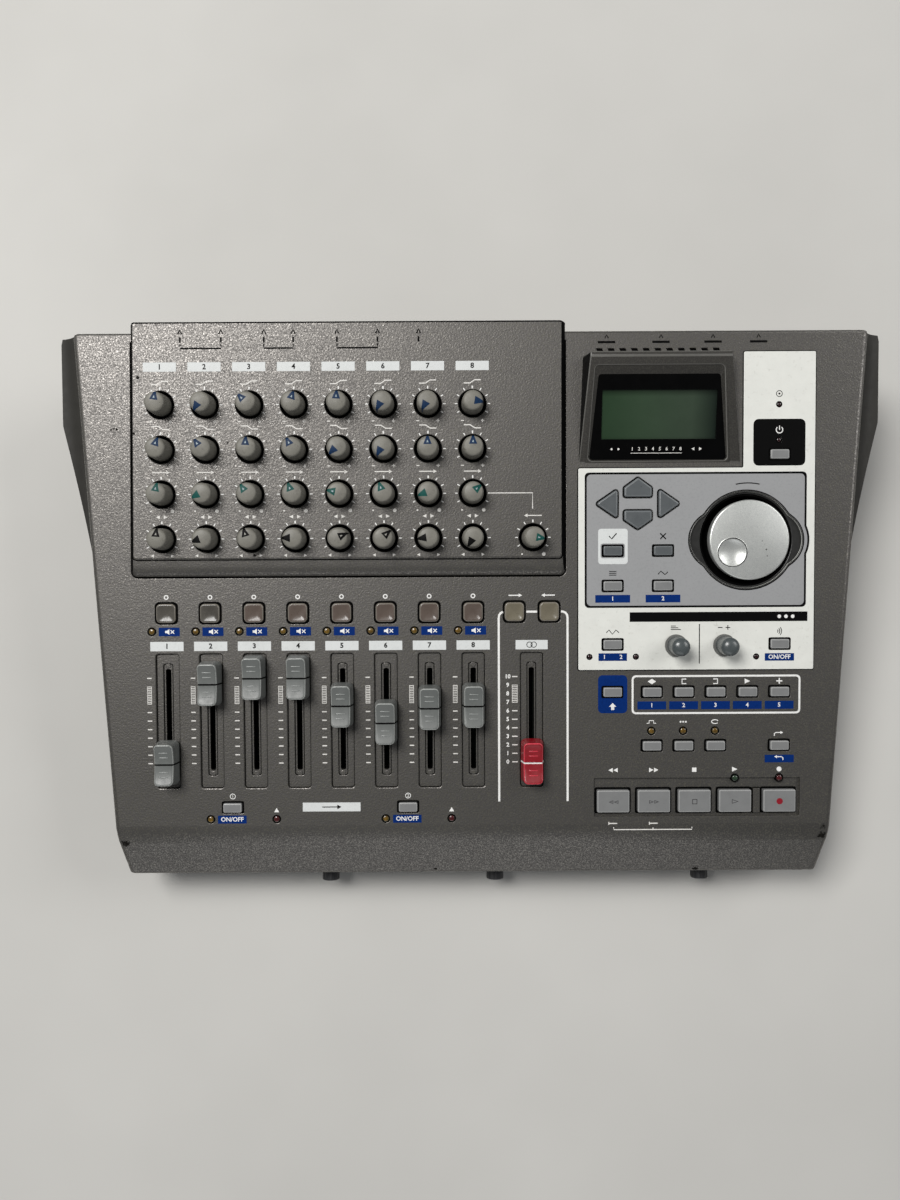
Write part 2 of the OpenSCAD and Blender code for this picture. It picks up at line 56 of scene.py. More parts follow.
REST = {"pan": [5, -110, -17, -90, 65, 48, -98, -150], "send": [10, -118, -34, -20, -78, -20, -110, 50],
        "eq_low": [18, -35, 2, -27, -135, -150, 0, 0], "eq_high": [8, -145, -45, 17, 3, -150, -150, 100]}
TRACK_V = 117.2
SMALL_KEYS = [(-126.3, 14.7), (-34, 14.7), (73.5, 148.7), (99.7, 148.7), (73.5, 130.4), (99.7, 130.4), (73.5, 99.8), (160.8, 99.8),
              (73.5, 74.8), (94.2, 74.7), (110.9, 74.7), (127.6, 74.7), (144.3, 74.7), (161, 74.7), (94.2, 46.4), (110.9, 46.4),
              (127.6, 46.4), (161, 46.4), (160.1, 198.4)]
SLATE_KEYS = {2, 3}
TRANSPORT_X, TRANSPORT_V = [73.9, 95.3, 116.6, 137.9, 161.2], 17.1
ENCODER_X, ENCODER_V = [106.5, 131.7], 99.2


def chan(i):
    return CH0 + PITCH * i


def half_at(v):
    return 188.6 + (206.5 - 188.6) * v / 262.5


def at(u=0, v=0, w=0):
    return PANEL @ Matrix.Translation((u, v, w))


# ---------------------------------------------------------------- outlines
def circle(x, y, r, n=32):
    return [(x + r * cos(2 * pi * k / n), y + r * sin(2 * pi * k / n)) for k in range(n)]


def rrect(x, y, w, h, r=0.0, n=4):
    if r <= 0:
        return [(x - w / 2, y - h / 2), (x + w / 2, y - h / 2), (x + w / 2, y + h / 2), (x - w / 2, y + h / 2)]
    out = []
    for c, (sx, sy) in enumerate(((1, 1), (-1, 1), (-1, -1), (1, -1))):
        for k in range(n + 1):
            a = pi / 2 * (c + k / n)
            out.append((x + sx * (w / 2 - r) + r * cos(a), y + sy * (h / 2 - r) + r * sin(a)))
    return out


def span(x0, x1, y0, y1, r=0.0, n=4):
    return rrect((x0 + x1) / 2, (y0 + y1) / 2, x1 - x0, y1 - y0, r, n)


def area(p):
    return sum(p[i - 1][0] * p[i][1] - p[i][0] * p[i - 1][1] for i in range(len(p))) / 2


def inset(p, d):
    """p moved to the left of its direction by d"""
    out = []
    for i in range(len(p)):
        a, b, c = Vector(p[i - 1]), Vector(p[i]), Vector(p[(i + 1) % len(p)])
        e, f = (b - a).normalized(), (c - b).normalized()
        n = Vector((-e.y - f.y, e.x + f.x))
        out.append(tuple(b + n * (d / max(0.25, 1 + e.dot(f)))))
    return out


def soften(p, r, n=4):
    """a polygon with its corners rounded to radius r"""
    out = []
    for i in range(len(p)):
        a, b, c = Vector(p[i - 1]), Vector(p[i]), Vector(p[(i + 1) % len(p)])
        e, f = (a - b).normalized(), (c - b).normalized()
        half = e.angle(f) / 2
        if half > 1.55:
            out.append(tuple(b))
            continue
        t = min(r / tan(half), (a - b).length * 0.45, (c - b).length * 0.45)
        mid = b + (e + f).normalized() * (t / cos(half))
        q0, q1 = b + e * t - mid, b + f * t - mid
        a0 = atan2(q0.y, q0.x)
        da = (atan2(q1.y, q1.x) - a0 + pi) % (2 * pi) - pi
        out += [(mid.x + q0.length * cos(a0 + da * k / n), mid.y + q0.length * sin(a0 + da * k / n)) for k in range(n + 1)]
    return out


def inside(x, y, loops):
    odd = False
    for p in loops:
        j = len(p) - 1
        for i in range(len(p)):
            (xi, yi), (xj, yj) = p[i], p[j]
            if (yi > y) != (yj > y) and x < (xj - xi) * (y - yi) / (yj - yi) + xi:
                odd = not odd
            j = i
    return odd


def well(e=0.0, n=120):
    """circle with an ear on each side, as one outline"""
    out = []
    for k in range(n):
        a = 2 * pi * k / n
        r = 24.9 + e
        for d in (-14.6, 14.6):
            s = (14.4 + e) ** 2 - (d * sin(a)) ** 2
            if s > 0:
                r = max(r, d * cos(a) + sqrt(s))
        out.append((WELL[0] + r * cos(a), WELL[1] + r * sin(a)))
    return out


def cursor_shapes(s=1.0):
    shapes = [((86.5, 180.5), [(-7.6, -4.1), (7.6, -4.1), (7.6, 1), (0, 6.5), (-7.6, 1)]),
              ((86.5, 165.7), [(-7.6, 4.1), (7.6, 4.1), (7.6, -1), (0, -6.2), (-7.6, -1)]),
              ((71.6, 173.1), [(-7.4, 0), (4.6, 8.2), (4.6, -8.2)]),
              ((101.6, 173.1), [(7.2, 0), (-4.6, 8.2), (-4.6, -8.2)])]
    return [[(c[0] + s * x, c[1] + s * y) for x, y in p] for c, p in shapes]


# ---------------------------------------------------------------- meshes
class Mesh:
    def __init__(self):
        self.v, self.f, self.m, self.s = [], [], [], []

    def add(self, shape, mat=0, place=None):
        v, f, s = shape[:3]
        mats = shape[3] if len(shape) > 3 else None
        o = len(self.v)
        self.v += [tuple(place @ Vector(p)) if place is not None else tuple(p) for p in v]
        self.f += [tuple(o + i for i in face) for face in f]
        self.s += list(s)
        self.m += [mat + k for k in mats] if mats else [mat] * len(f)
        return self


def fill(loops, extra=()):
    flat = [p for q in loops for p in q] + list(extra)
    edges, o = [], 0
    for p in loops:
        edges += [(o + i, o + (i + 1) % len(p)) for i in range(len(p))]
        o += len(p)
    vo, _, fo, ov, _, _ = delaunay_2d_cdt([Vector(p) for p in flat], edges, [], 1, 1e-6)
    back = {i: ov[i][0] for i in range(len(vo)) if ov[i]}
    tris = []
    for t in fo:
        if any(i not in back for i in t):
            raise ValueError("outlines cross")
        x, y = sum(vo[i].x for i in t) / 3, sum(vo[i].y for i in t) / 3
        if inside(x, y, loops):
            t = tuple(back[i] for i in t)
            a, b, c = (flat[i] for i in t)
            if (b[0] - a[0]) * (c[1] - a[1]) - (b[1] - a[1]) * (c[0] - a[0]) < 0:
                t = t[::-1]
            tris.append(t)
    return tris


def prism(loops, w0, w1, bevel=0.2, seg=2, low=0.0):
    """a flat plate between w0 and w1 with its top edges rounded; each loop may be (points, its own bevel)"""
    pts, bev = [], []
    for p in loops:
        if isinstance(p, tuple):
            p, b = p
        else:
            b = bevel
        pts.append(list(p))
        bev.append(b)
    for i, p in enumerate(pts):
        others = pts[:i] + pts[i + 1:]
        hole = inside(p[0][0], p[0][1], others)
        if (area(p) > 0) == hole:
            pts[i] = p[::-1]
    steps = [(0.0, 0.0)] + [(1 - cos(pi / 2 * k / seg), sin(pi / 2 * k / seg)) for k in range(1, seg + 1)]
    rings = [(pts if low <= 0 else [inset(p, low) for p in pts], [w0] * len(pts))]
    if low > 0:
        rings.append((pts, [w0 + low] * len(pts)))
    for k, (a, b) in enumerate(steps):
        rings.append(([inset(p, a * d) if a * d > 0 else p for p, d in zip(pts, bev)], [w1 - d + b * d for d in bev]))
    n = sum(len(p) for p in pts)
    v, f, s = [], [], []
    for loops2, hs in rings:
        for p, h in zip(loops2, hs):
            v += [(x, y, h) for x, y in p]
    o = 0
    for p in pts:
        m = len(p)
        for r in range(len(rings) - 1):
            for i in range(m):
                a, b = o + i, o + (i + 1) % m
                f.append((r * n + a, r * n + b, (r + 1) * n + b, (r + 1) * n + a))
                s.append(r > (1 if low > 0 else 0))
        o += m
    top = (len(rings) - 1) * n
    for t in fill(rings[-1][0]):
        f.append(tuple(top + i for i in t))
        s.append(False)
    for t in fill(rings[0][0]):
        f.append(tuple(t[::-1]))
        s.append(False)
    return v, f, s


def lathe(profile, seg=48, flat=()):
    """profile of (r, z) from the bottom up, turned about z; segments named in flat are shaded flat"""
    v, f, s, rings = [], [], [], []
    for r, z in profile:
        if r < 1e-6:
            rings.append([len(v)])
            v.append((0, 0, z))
        else:
            rings.append(list(range(len(v), len(v) + seg)))
            v += [(r * cos(2 * pi * k / seg), r * sin(2 * pi * k / seg), z) for k in range(seg)]
    for q in range(len(rings) - 1):
        a, b = rings[q], rings[q + 1]
        for k in range(seg):
            i, j = k, (k + 1) % seg
            if len(a) == 1 and len(b) == 1:
                continue
            if len(a) == 1:
                f.append((a[0], b[j], b[i]))
            elif len(b) == 1:
                f.append((a[i], a[j], b[0]))
            else:
                f.append((a[i], a[j], b[j], b[i]))
            s.append(q not in flat)
    return v, f, s


def arc(cx, cz, r, a0, a1, n):
    return [(cx + r * cos(radians(a0 + (a1 - a0) * k / n)), cz + r * sin(radians(a0 + (a1 - a0) * k / n))) for k in range(n + 1)]


def temp(v, f, mats=None):
    me = bpy.data.meshes.new("temp")
    me.from_pydata(v, [], f)
    bm = bmesh.new()
    bm.from_mesh(me)
    bmesh.ops.remove_doubles(bm, verts=bm.verts, dist=1e-5)
    bmesh.ops.recalc_face_normals(bm, faces=bm.faces)
    bm.to_mesh(me)
    bm.free()
    o = bpy.data.objects.new("temp", me)
    bpy.context.scene.collection.objects.link(o)
    return o


def result(o):
    bpy.context.view_layer.update()
    me = bpy.data.meshes.new_from_object(o.evaluated_get(bpy.context.evaluated_depsgraph_get()))
    v = [tuple(p.co) for p in me.vertices]
    f = [tuple(p.vertices) for p in me.polygons]
    m = [p.material_index for p in me.polygons]
    bpy.data.meshes.remove(me)
    return v, f, m


def drop(*objs):
    for o in objs:
        me = o.data
        bpy.data.objects.remove(o)
        bpy.data.meshes.remove(me)


def solid(v, f, width, segs=4, cuts=()):
    """a block whose edges are rounded by width(a, b) in mm, then cut by closed shapes; rounded faces are shaded smooth"""
    o = temp(v, f)
    me = o.data
    for name in ("flat", "round"):
        me.materials.append(bpy.data.materials.get("temp_" + name) or bpy.data.materials.new("temp_" + name))
    bm = bmesh.new()
    bm.from_mesh(me)
    layer = bm.edges.layers.float.new("bevel_weight_edge")
    ws = [max(0.0, width(e.verts[0].co, e.verts[1].co)) for e in bm.edges]
    top = max(ws + [0.001])
    for e, w in zip(bm.edges, ws):
        e[layer] = w / top
    bm.to_mesh(me)
    bm.free()
    mod = o.modifiers.new("bevel", "BEVEL")
    mod.limit_method, mod.width, mod.segments, mod.material, mod.use_clamp_overlap = "WEIGHT", top, segs, 1, True
    mod.miter_outer = "MITER_SHARP"
    tools = []
    for cv, cf in cuts:
        c = temp(cv, cf)
        c.data.materials.append(bpy.data.materials["temp_flat"])
        b = o.modifiers.new("cut", "BOOLEAN")
        b.operation, b.solver, b.object = "DIFFERENCE", "EXACT", c
        tools.append(c)
    v, f, m = result(o)
    drop(o, *tools)
    return v, f, [k == 1 for k in m]


def slab(poly, z0, z1, axis="z"):
    """a plain prism over a polygon, for cutting"""
    n = len(poly)
    put = {"z": lambda a, b, c: (a, b, c), "x": lambda a, b, c: (c, a, b), "y": lambda a, b, c: (a, c, b)}[axis]
    v = [put(x, y, z0) for x, y in poly] + [put(x, y, z1) for x, y in poly]
    f = [tuple(range(n))[::-1], tuple(range(n, 2 * n))] + [(i, (i + 1) % n, n + (i + 1) % n, n + i) for i in range(n)]
    return v, f


def moved(shape, place):
    return ([tuple(place @ Vector(p)) for p in shape[0]],) + tuple(shape[1:])


def letters(text, size, x, y, h, bold=0.0, align="CENTER"):
    """digits or symbols as a thin closed plate"""
    cu = bpy.data.curves.new("letters", "FONT")
    cu.body, cu.size, cu.align_x, cu.align_y, cu.extrude, cu.resolution_u, cu.offset = text, size, align, "CENTER", 0.5, 2, bold
    o = bpy.data.objects.new("letters", cu)
    bpy.context.scene.collection.objects.link(o)
    v, f, _ = result(o)
    bpy.data.objects.remove(o)
    bpy.data.curves.remove(cu)
    me = bpy.data.meshes.new("letters")
    me.from_pydata([(a + x, b + y, h[0] if c < 0 else h[1]) for a, b, c in v], [], f)
    bm = bmesh.new()
    bm.from_mesh(me)
    bmesh.ops.remove_doubles(bm, verts=bm.verts, dist=1e-5)
    bm.to_mesh(me)
    bm.free()
    out = [tuple(p.co) for p in me.vertices], [tuple(p.vertices) for p in me.polygons], [False] * len(me.polygons)
    bpy.data.meshes.remove(me)
    return out


def piece(name, mesh, mats, body="case", stands_for=(), sharp=38):
    me = bpy.data.meshes.new(name)
    me.from_pydata(mesh.v, [], mesh.f)
    for m in mats:
        me.materials.append(m)
    me.set_sharp_from_angle(angle=radians(sharp))
    for p, k, s in zip(me.polygons, mesh.m, mesh.s):
        p.material_index, p.use_smooth = k, s
    me.validate()
    o = bpy.data.objects.new(name, me)
    bpy.context.scene.collection.objects.link(o)
    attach(o, body)
    if stands_for:
        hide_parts(*stands_for)
    return o


# ---------------------------------------------------------------- materials
def lin(c):
    return c / 12.92 if c <= 0.04045 else ((c + 0.055) / 1.055) ** 2.4


def rgb(r, g, b, k=1.0):
    return tuple(min(1.0, lin(x / 255) * k) for x in (r, g, b)) + (1.0,)


class Mat:
    def __init__(self, name, rough=0.5, metallic=0.0, specular=0.5, coat=0.0, coat_rough=0.1, ior=1.5):
        self.m = bpy.data.materials.new(name)
        self.m.use_nodes = True
        self.t = self.m.node_tree
        self.b = self.t.nodes["Principled BSDF"]
        for key, val in (("Roughness", rough), ("Metallic", metallic), ("Specular IOR Level", specular), ("Coat Weight", coat), ("Coat Roughness", coat_rough), ("IOR", ior)):
            self.b.inputs[key].default_value = val
        self.co = self.t.nodes.new("ShaderNodeTexCoord").outputs["Object"]

    def link(self, a, b):
        self.t.links.new(a, b)

    def noise(self, scale, detail=2.0, rough=0.5, stretch=None):
        n = self.t.nodes.new("ShaderNodeTexNoise")
        n.inputs["Scale"].default_value, n.inputs["Detail"].default_value, n.inputs["Roughness"].default_value = scale, detail, rough
        src = self.co
        if stretch:
            mp = self.t.nodes.new("ShaderNodeMapping")
            mp.inputs["Scale"].default_value = stretch
            self.link(self.co, mp.inputs["Vector"])
            src = mp.outputs["Vector"]
        self.link(src, n.inputs["Vector"])
        return n.outputs["Fac"]

    def ramp(self, fac, stops, kind="LINEAR"):
        r = self.t.nodes.new("ShaderNodeValToRGB")
        r.color_ramp.interpolation = kind
        e = r.color_ramp.elements
        while len(e) < len(stops):
            e.new(0.5)
        for el, (p, c) in zip(e, stops):
            el.position, el.color = p, c if len(c) == 4 else tuple(c) + (1,)
        self.link(fac, r.inputs["Fac"])
        return r.outputs["Color"]

    def mix(self, a, b, fac, kind="MIX"):
        x = self.t.nodes.new("ShaderNodeMix")
        x.data_type, x.blend_type = "RGBA", kind
        for sock, val in ((x.inputs[0], fac), (x.inputs[6], a), (x.inputs[7], b)):
            if isinstance(val, (int, float, tuple)):
                sock.default_value = val
            else:
                self.link(val, sock)
        return x.outputs[2]

    def span(self, fac, lo, hi, a=0.3, b=0.7):
        x = self.t.nodes.new("ShaderNodeMapRange")
        for key, val in (("From Min", a), ("From Max", b), ("To Min", lo), ("To Max", hi)):
            x.inputs[key].default_value = val
        self.link(fac, x.inputs["Value"])
        return x.outputs["Result"]

    def bump(self, fac, dist, strength=0.5, after=None):
        x = self.t.nodes.new("ShaderNodeBump")
        x.inputs["Distance"].default_value, x.inputs["Strength"].default_value = dist, strength
        self.link(fac, x.inputs["Height"])
        if after is not None:
            self.link(after, x.inputs["Normal"])
        return x.outputs["Normal"]

    def done(self, colour=None, rough=None, normal=None):
        if colour is not None:
            self.link(colour, self.b.inputs["Base Color"])
        if rough is not None:
            self.link(rough, self.b.inputs["Roughness"])
        if normal is not None:
            self.link(normal, self.b.inputs["Normal"])
        return self.m


def grey(k):
    return (k, k, k, 1.0)


def wear(m, col, spots, tone, shine=None):
    """dark dull scuffs near given points, in metres"""
    rough_edge, total = m.noise(520, 4, 0.75), None
    for (x, y, z), r in spots:
        d = m.t.nodes.new("ShaderNodeVectorMath")
        d.operation = "DISTANCE"
        m.link(m.co, d.inputs[0])
        d.inputs[1].default_value = (x, y, z)
        near_it = m.span(d.outputs["Value"], 0.62, 0.0, 0.0, r)
        k = m.t.nodes.new("ShaderNodeMath")
        k.operation = "ADD"
        m.link(near_it, k.inputs[0])
        m.link(rough_edge, k.inputs[1])
        if total is None:
            total = k.outputs["Value"]
        else:
            most = m.t.nodes.new("ShaderNodeMath")
            most.operation = "MAXIMUM"
            m.link(total, most.inputs[0])
            m.link(k.outputs["Value"], most.inputs[1])
            total = most.outputs["Value"]
    mask = m.ramp(total, [(0.86, grey(0.0)), (0.93, grey(0.9))])
    if shine is not None:
        m.link(m.span(mask, shine, 0.03, 0.0, 0.9), m.b.inputs["Specular IOR Level"])
    return m.mix(col, tone, mask)


def speckle(name, dark, mid, light, rough=0.47, scale=1380, cloud=0.08, bump=0.00018, specular=1.0, spots=(), glint=0.2, ior=1.65):
    m = Mat(name, rough=rough, specular=specular, ior=ior)
    m.b.inputs["Specular Tint"].default_value = (1.0, 0.955, 0.915, 1.0)
    grain = m.noise(scale, 2.0, 0.62)
    col = m.ramp(grain, [(0.31, dark), (0.5, mid), (0.69, light)])
    big = m.noise(9, 3, 0.6)
    col = m.mix(col, m.ramp(big, [(0.3, grey(1 - cloud)), (0.7, grey(1.0))]), 1.0, "MULTIPLY")
    rub = m.ramp(m.noise(28, 4, 0.7, (1, 2.2, 1)), [(0.60, grey(0.0)), (0.78, grey(0.14))])
    col = m.mix(col, light, rub)
    if spots:
        col = wear(m, col, spots, rgb(20, 19, 17), specular)
    grain2 = m.noise(scale * 0.8, 2, 0.55)
    return m.done(col, m.span(grain, rough + glint, rough - glint, 0.32, 0.68), m.bump(grain2, bump, 0.7))


def plastic(name, colour, rough=0.45, var=0.10, grain=2600, bump=0.00003, dirt=0.0, dirt_col=None, coat=0.0, specular=0.5, metallic=0.0):
    m = Mat(name, rough=rough, specular=specular, coat=coat, metallic=metallic)
    lo = tuple(c * (1 - var) for c in colour[:3]) + (1,)
    hi = tuple(min(1, c * (1 + var)) for c in colour[:3]) + (1,)
    col = m.ramp(m.noise(160, 3, 0.6), [(0.3, lo), (0.7, hi)])
    fine = m.noise(grain, 2, 0.5)
    col = m.mix(col, m.ramp(fine, [(0.3, grey(1 - var * 0.7)), (0.7, grey(1.0))]), 1.0, "MULTIPLY")
    if dirt > 0:
        spot = m.ramp(m.noise(420, 4, 0.75), [(0.58, grey(0.0)), (0.75, grey(dirt))])
        col = m.mix(col, dirt_col or tuple(c * 0.35 for c in colour[:3]) + (1,), spot)
    return m.done(col, m.span(m.noise(300, 3, 0.6), rough - 0.07, rough + 0.09), m.bump(fine, bump, 0.5))


def ink(name, colour, rough=0.5, wear=0.06, specular=0.4):
    m = Mat(name, rough=rough, specular=specular)
    col = m.ramp(m.noise(900, 3, 0.7), [(0.32, tuple(c * (1 - wear * 3) for c in colour[:3]) + (1,)), (0.5, colour)])
    col = m.mix(col, m.ramp(m.noise(60, 2, 0.5), [(0.3, grey(1 - wear)), (0.7, grey(1.0))]), 1.0, "MULTIPLY")
    return m.done(col, m.span(m.noise(1200, 2, 0.5), rough - 0.06, rough + 0.08))


def world_at(u, v, w):
    return tuple(PANEL @ Vector((u, v, w)))


CHIPS = [(world_at(184.4, -1.6, -1.8), 0.0050), (world_at(184.8, 2.8, -0.9), 0.0036), (world_at(-183.6, -4.4, -2.8), 0.0056), (world_at(-150, -20, -10), 0.0030),
         (world_at(120, -22, -10), 0.0042), (world_at(-20, -21.5, -10), 0.0026),
         (world_at(-186.8, 212.8, 0), 0.0013), (world_at(-185.4, 213.3, 0), 0.0015), (world_at(-184.0, 213.0, 0), 0.0014)]
MIXER_CHIPS = [(world_at(-170.9, 238.6, 5), 0.0026), (world_at(-173.4, 210.0, 5), 0.0017), (world_at(-125.0, 205.0, 5), 0.0016), (world_at(-112, 147, 4.6), 0.0018)]
M_CASE = speckle("paint_case", rgb(7, 7, 6), rgb(28, 28, 25), rgb(86, 84, 75), spots=CHIPS)
M_MIXER = speckle("paint_mixer", rgb(7, 7, 6), rgb(29, 29, 26), rgb(88, 86, 77), spots=MIXER_CHIPS)
M_DARK = plastic("moulded_dark", rgb(50, 49, 46), 0.52, 0.08, 1800, 0.00004, 0.25, specular=0.2)
M_RIM_HIGHLIGHT = plastic("bezel_rim", rgb(60, 60, 58), 0.26, 0.08, 1800, 0.00002, 0.15)
M_BEZEL = plastic("bezel_dark", rgb(40, 40, 39), 0.34, 0.08, 1800, 0.00002, 0.2)
M_TRAY = plastic("moulded_tray", rgb(46, 46, 44), 0.5, 0.10, 1500, 0.00008, 0.2)
M_POD = speckle("paint_pod", rgb(26, 26, 24), rgb(41, 40, 37), rgb(62, 61, 56), 0.46, 1500, 0.06, 0.00008, 0.6, (), 0.08, 1.5)
M_HOOD_HIGHLIGHT = plastic("hood_line", rgb(92, 91, 87), 0.36, 0.06, 2400, 0.00001)
M_WHITE = plastic("plate_white", rgb(220, 221, 215), 0.42, 0.025, 2200, 0.00001, 0.35, rgb(150, 146, 136))
M_GREYPANEL = ink("print_grey", rgb(150, 151, 152), 0.42, 0.03, 0.4)
M_KEY = plastic("key_grey", rgb(123, 124, 124), 0.34, 0.05, 3000, 0.00002, 0.1)
M_KEY_HIGHLIGHT = plastic("key_edge", rgb(152, 153, 152), 0.34, 0.04, 3000, 0.00001)
M_SLATE = plastic("key_slate", rgb(86, 90, 92), 0.32, 0.05, 3000, 0.00002)
M_SLATE_HIGHLIGHT = plastic("slate_edge", rgb(106, 110, 112), 0.32, 0.04, 3000, 0.00001)
M_KNOB = plastic("knob_soft", rgb(118, 116, 108), 0.5, 0.12, 1500, 0.00005, 0.6, rgb(70, 65, 57))
M_FADER = plastic("fader_satin", rgb(98, 101, 99), 0.41, 0.06, 2600, 0.00002, 0.2, specular=0.6)
M_RIB_HIGHLIGHT = plastic("fader_rib", rgb(130, 133, 131), 0.3, 0.05, 2600, 0.00002)
M_RIB_HIGHLIGHT_RED = plastic("fader_rib_red", rgb(186, 52, 66), 0.35, 0.05, 2600, 0.00002)
M_FADER_HIGHLIGHT = plastic("fader_edge", rgb(156, 159, 156), 0.3, 0.05, 2600, 0.00001)
M_FADER_HIGHLIGHT_RED = plastic("fader_edge_red", rgb(206, 66, 80), 0.3, 0.05, 2600, 0.00001)
M_FADER_RED = plastic("fader_red", rgb(134, 14, 27), 0.36, 0.06, 2600, 0.00002, 0.12, specular=0.7)
M_BLACK = plastic("black_satin", rgb(16, 16, 17), 0.45, 0.2, 2000, 0.00003, specular=0.35)
M_VOID = plastic("black_matt", rgb(5, 5, 5), 0.9, 0.2, 2000, 0.00003, specular=0.05)
M_ENC = plastic("encoder_slate", rgb(74, 80, 81), 0.28, 0.09, 2400, 0.00002, 0.15, specular=0.7)
M_FLANGE = plastic("encoder_flange", rgb(102, 103, 100), 0.5, 0.10, 1800, 0.00005, 0.3)
M_LEVEL = plastic("knob_black", rgb(40, 40, 42), 0.42, 0.1, 1800, 0.00003, 0.1)
M_RUBBER = plastic("rubber_foot", rgb(26, 26, 26), 0.75, 0.2, 900, 0.00012)
M_WHITEINK = ink("ink_white", rgb(236, 236, 233), 0.5, 0.05)
M_STRIP = ink("write_strip", rgb(212, 215, 214), 0.6, 0.03)
M_BLUEINK = ink("ink_blue", rgb(6, 43, 108), 0.55, 0.08, 0.06)
M_BLACKINK = ink("ink_black", rgb(8, 8, 8), 0.55, 0.08, 0.06)
M_DARKINK = ink("ink_dark", rgb(18, 17, 16), 0.55, 0.1, 0.1)
M_TICK = ink("ink_tick", rgb(226, 224, 219), 0.5, 0.08)
M_TEAL = ink("pointer_teal", rgb(20, 78, 72), 0.5, 0.12, 0.15)
M_PBLUE = ink("pointer_blue", rgb(16, 44, 76), 0.5, 0.12, 0.15)
M_PBLACK = ink("pointer_black", rgb(7, 7, 7), 0.55, 0.12, 0.1)
M_PALE_HIGHLIGHT = ink("pointer_pale", rgb(150, 166, 172), 0.5, 0.12)
M_GREY_HIGHLIGHT = ink("pointer_grey", rgb(150, 148, 140), 0.5, 0.12)
M_RED = ink("ink_red", rgb(138, 18, 34), 0.45, 0.08)
M_SYMBOL = ink("ink_symbol", rgb(70, 70, 71), 0.5, 0.08)
M_STEEL = plastic("nickel", rgb(196, 194, 188), 0.26, 0.08, 1200, 0.00002, 0.2, rgb(90, 86, 80), metallic=1.0)
M_ZINC = plastic("zinc_screw", rgb(168, 168, 172), 0.4, 0.12, 1500, 0.00004, 0.2, metallic=1.0)
M_GOLD = plastic("contact", rgb(190, 160, 90), 0.3, 0.08, 1500, 0.00002, 0.1, metallic=1.0)
M_RINGWHITE = plastic("ring_white", rgb(220, 220, 214), 0.45, 0.04)
M_RINGRED = plastic("ring_red", rgb(170, 26, 30), 0.45, 0.06)


def lens(name, colour, rim):
    m = Mat(name, rough=0.22, specular=0.6, coat=0.5, coat_rough=0.08)
    col = m.ramp(m.noise(700, 2, 0.5), [(0.3, rim), (0.62, colour)])
    return m.done(col, m.span(m.noise(900, 2), 0.18, 0.3))


M_AMBER = lens("led_amber", rgb(112, 86, 28), rgb(72, 54, 16))
M_LEDRED = lens("led_red", rgb(78, 20, 22), rgb(44, 12, 13))
M_GREEN = lens("led_green", rgb(46, 66, 48), rgb(28, 44, 30))
M_DARKRED = lens("led_dark", rgb(44, 14, 15), rgb(20, 7, 8))


def button_cap():
    m = Mat("button_smoke", rough=0.32, specular=0.4, coat=0.25, coat_rough=0.3)
    big = m.noise(120, 2, 0.5)
    col = m.ramp(big, [(0.3, rgb(70, 67, 62)), (0.7, rgb(82, 79, 73))])
    return m.done(col, m.span(m.noise(500, 3), 0.2, 0.32), m.bump(m.noise(2400, 2), 0.00001, 0.4))


M_BUTTON = button_cap()
M_HOODSIDE = plastic("hood_side", rgb(11, 11, 10), 0.66, 0.1, 1800, 0.00003, specular=0.15)
M_BUTTON_HIGHLIGHT = plastic("button_edge", rgb(124, 119, 110), 0.3, 0.05, 2600, 0.00001)
M_BUTTON_RED = plastic("button_tint", rgb(90, 79, 72), 0.32, 0.08, 2400, 0.00001, 0.1, coat=0.22, specular=0.4)
M_BUTTON_OLIVE = plastic("button_olive", rgb(110, 104, 89), 0.32, 0.08, 2400, 0.00001, 0.1, coat=0.22, specular=0.4)


def dial_paint():
    m = Mat("dial_silver", rough=0.38, metallic=0.72, specular=0.5)
    fine = m.noise(2400, 2, 0.6)
    col = m.ramp(fine, [(0.3, rgb(206, 209, 206)), (0.7, rgb(232, 234, 230))])
    col = m.mix(col, m.ramp(m.noise(70, 3, 0.6), [(0.35, grey(0.94)), (0.65, grey(1.0))]), 1.0, "MULTIPLY")
    spots = [(6.3, -0.6, 0.0013), (7.4, -2.6, 0.0010), (8.4, -5.0, 0.0009), (8.9, -8.3, 0.0011), (13.4, -12.6, 0.0012), (14.3, -13.6, 0.0010), (13.2, 9.6, 0.0007)]
    col = wear(m, col, [(world_at(DIAL[0] + x, DIAL[1] + y, 5.0), r) for x, y, r in spots], rgb(62, 62, 60))
    return m.done(col, m.span(fine, 0.34, 0.44), m.bump(fine, 0.000012, 0.4))


M_DIMPLE_SHADE = plastic("dial_groove", rgb(30, 31, 31), 0.6, 0.1, 2400, 0.00001)
M_DIAL = dial_paint()


def glass_black():
    m = Mat("window_black", rough=0.22, specular=0.12)
    dust = m.noise(1800, 4, 0.8)
    col = m.ramp(dust, [(0.62, rgb(5, 5, 5)), (0.84, rgb(22, 23, 23))])
    return m.done(col, m.span(m.noise(200, 3), 0.18, 0.28))


M_WINDOW = glass_black()


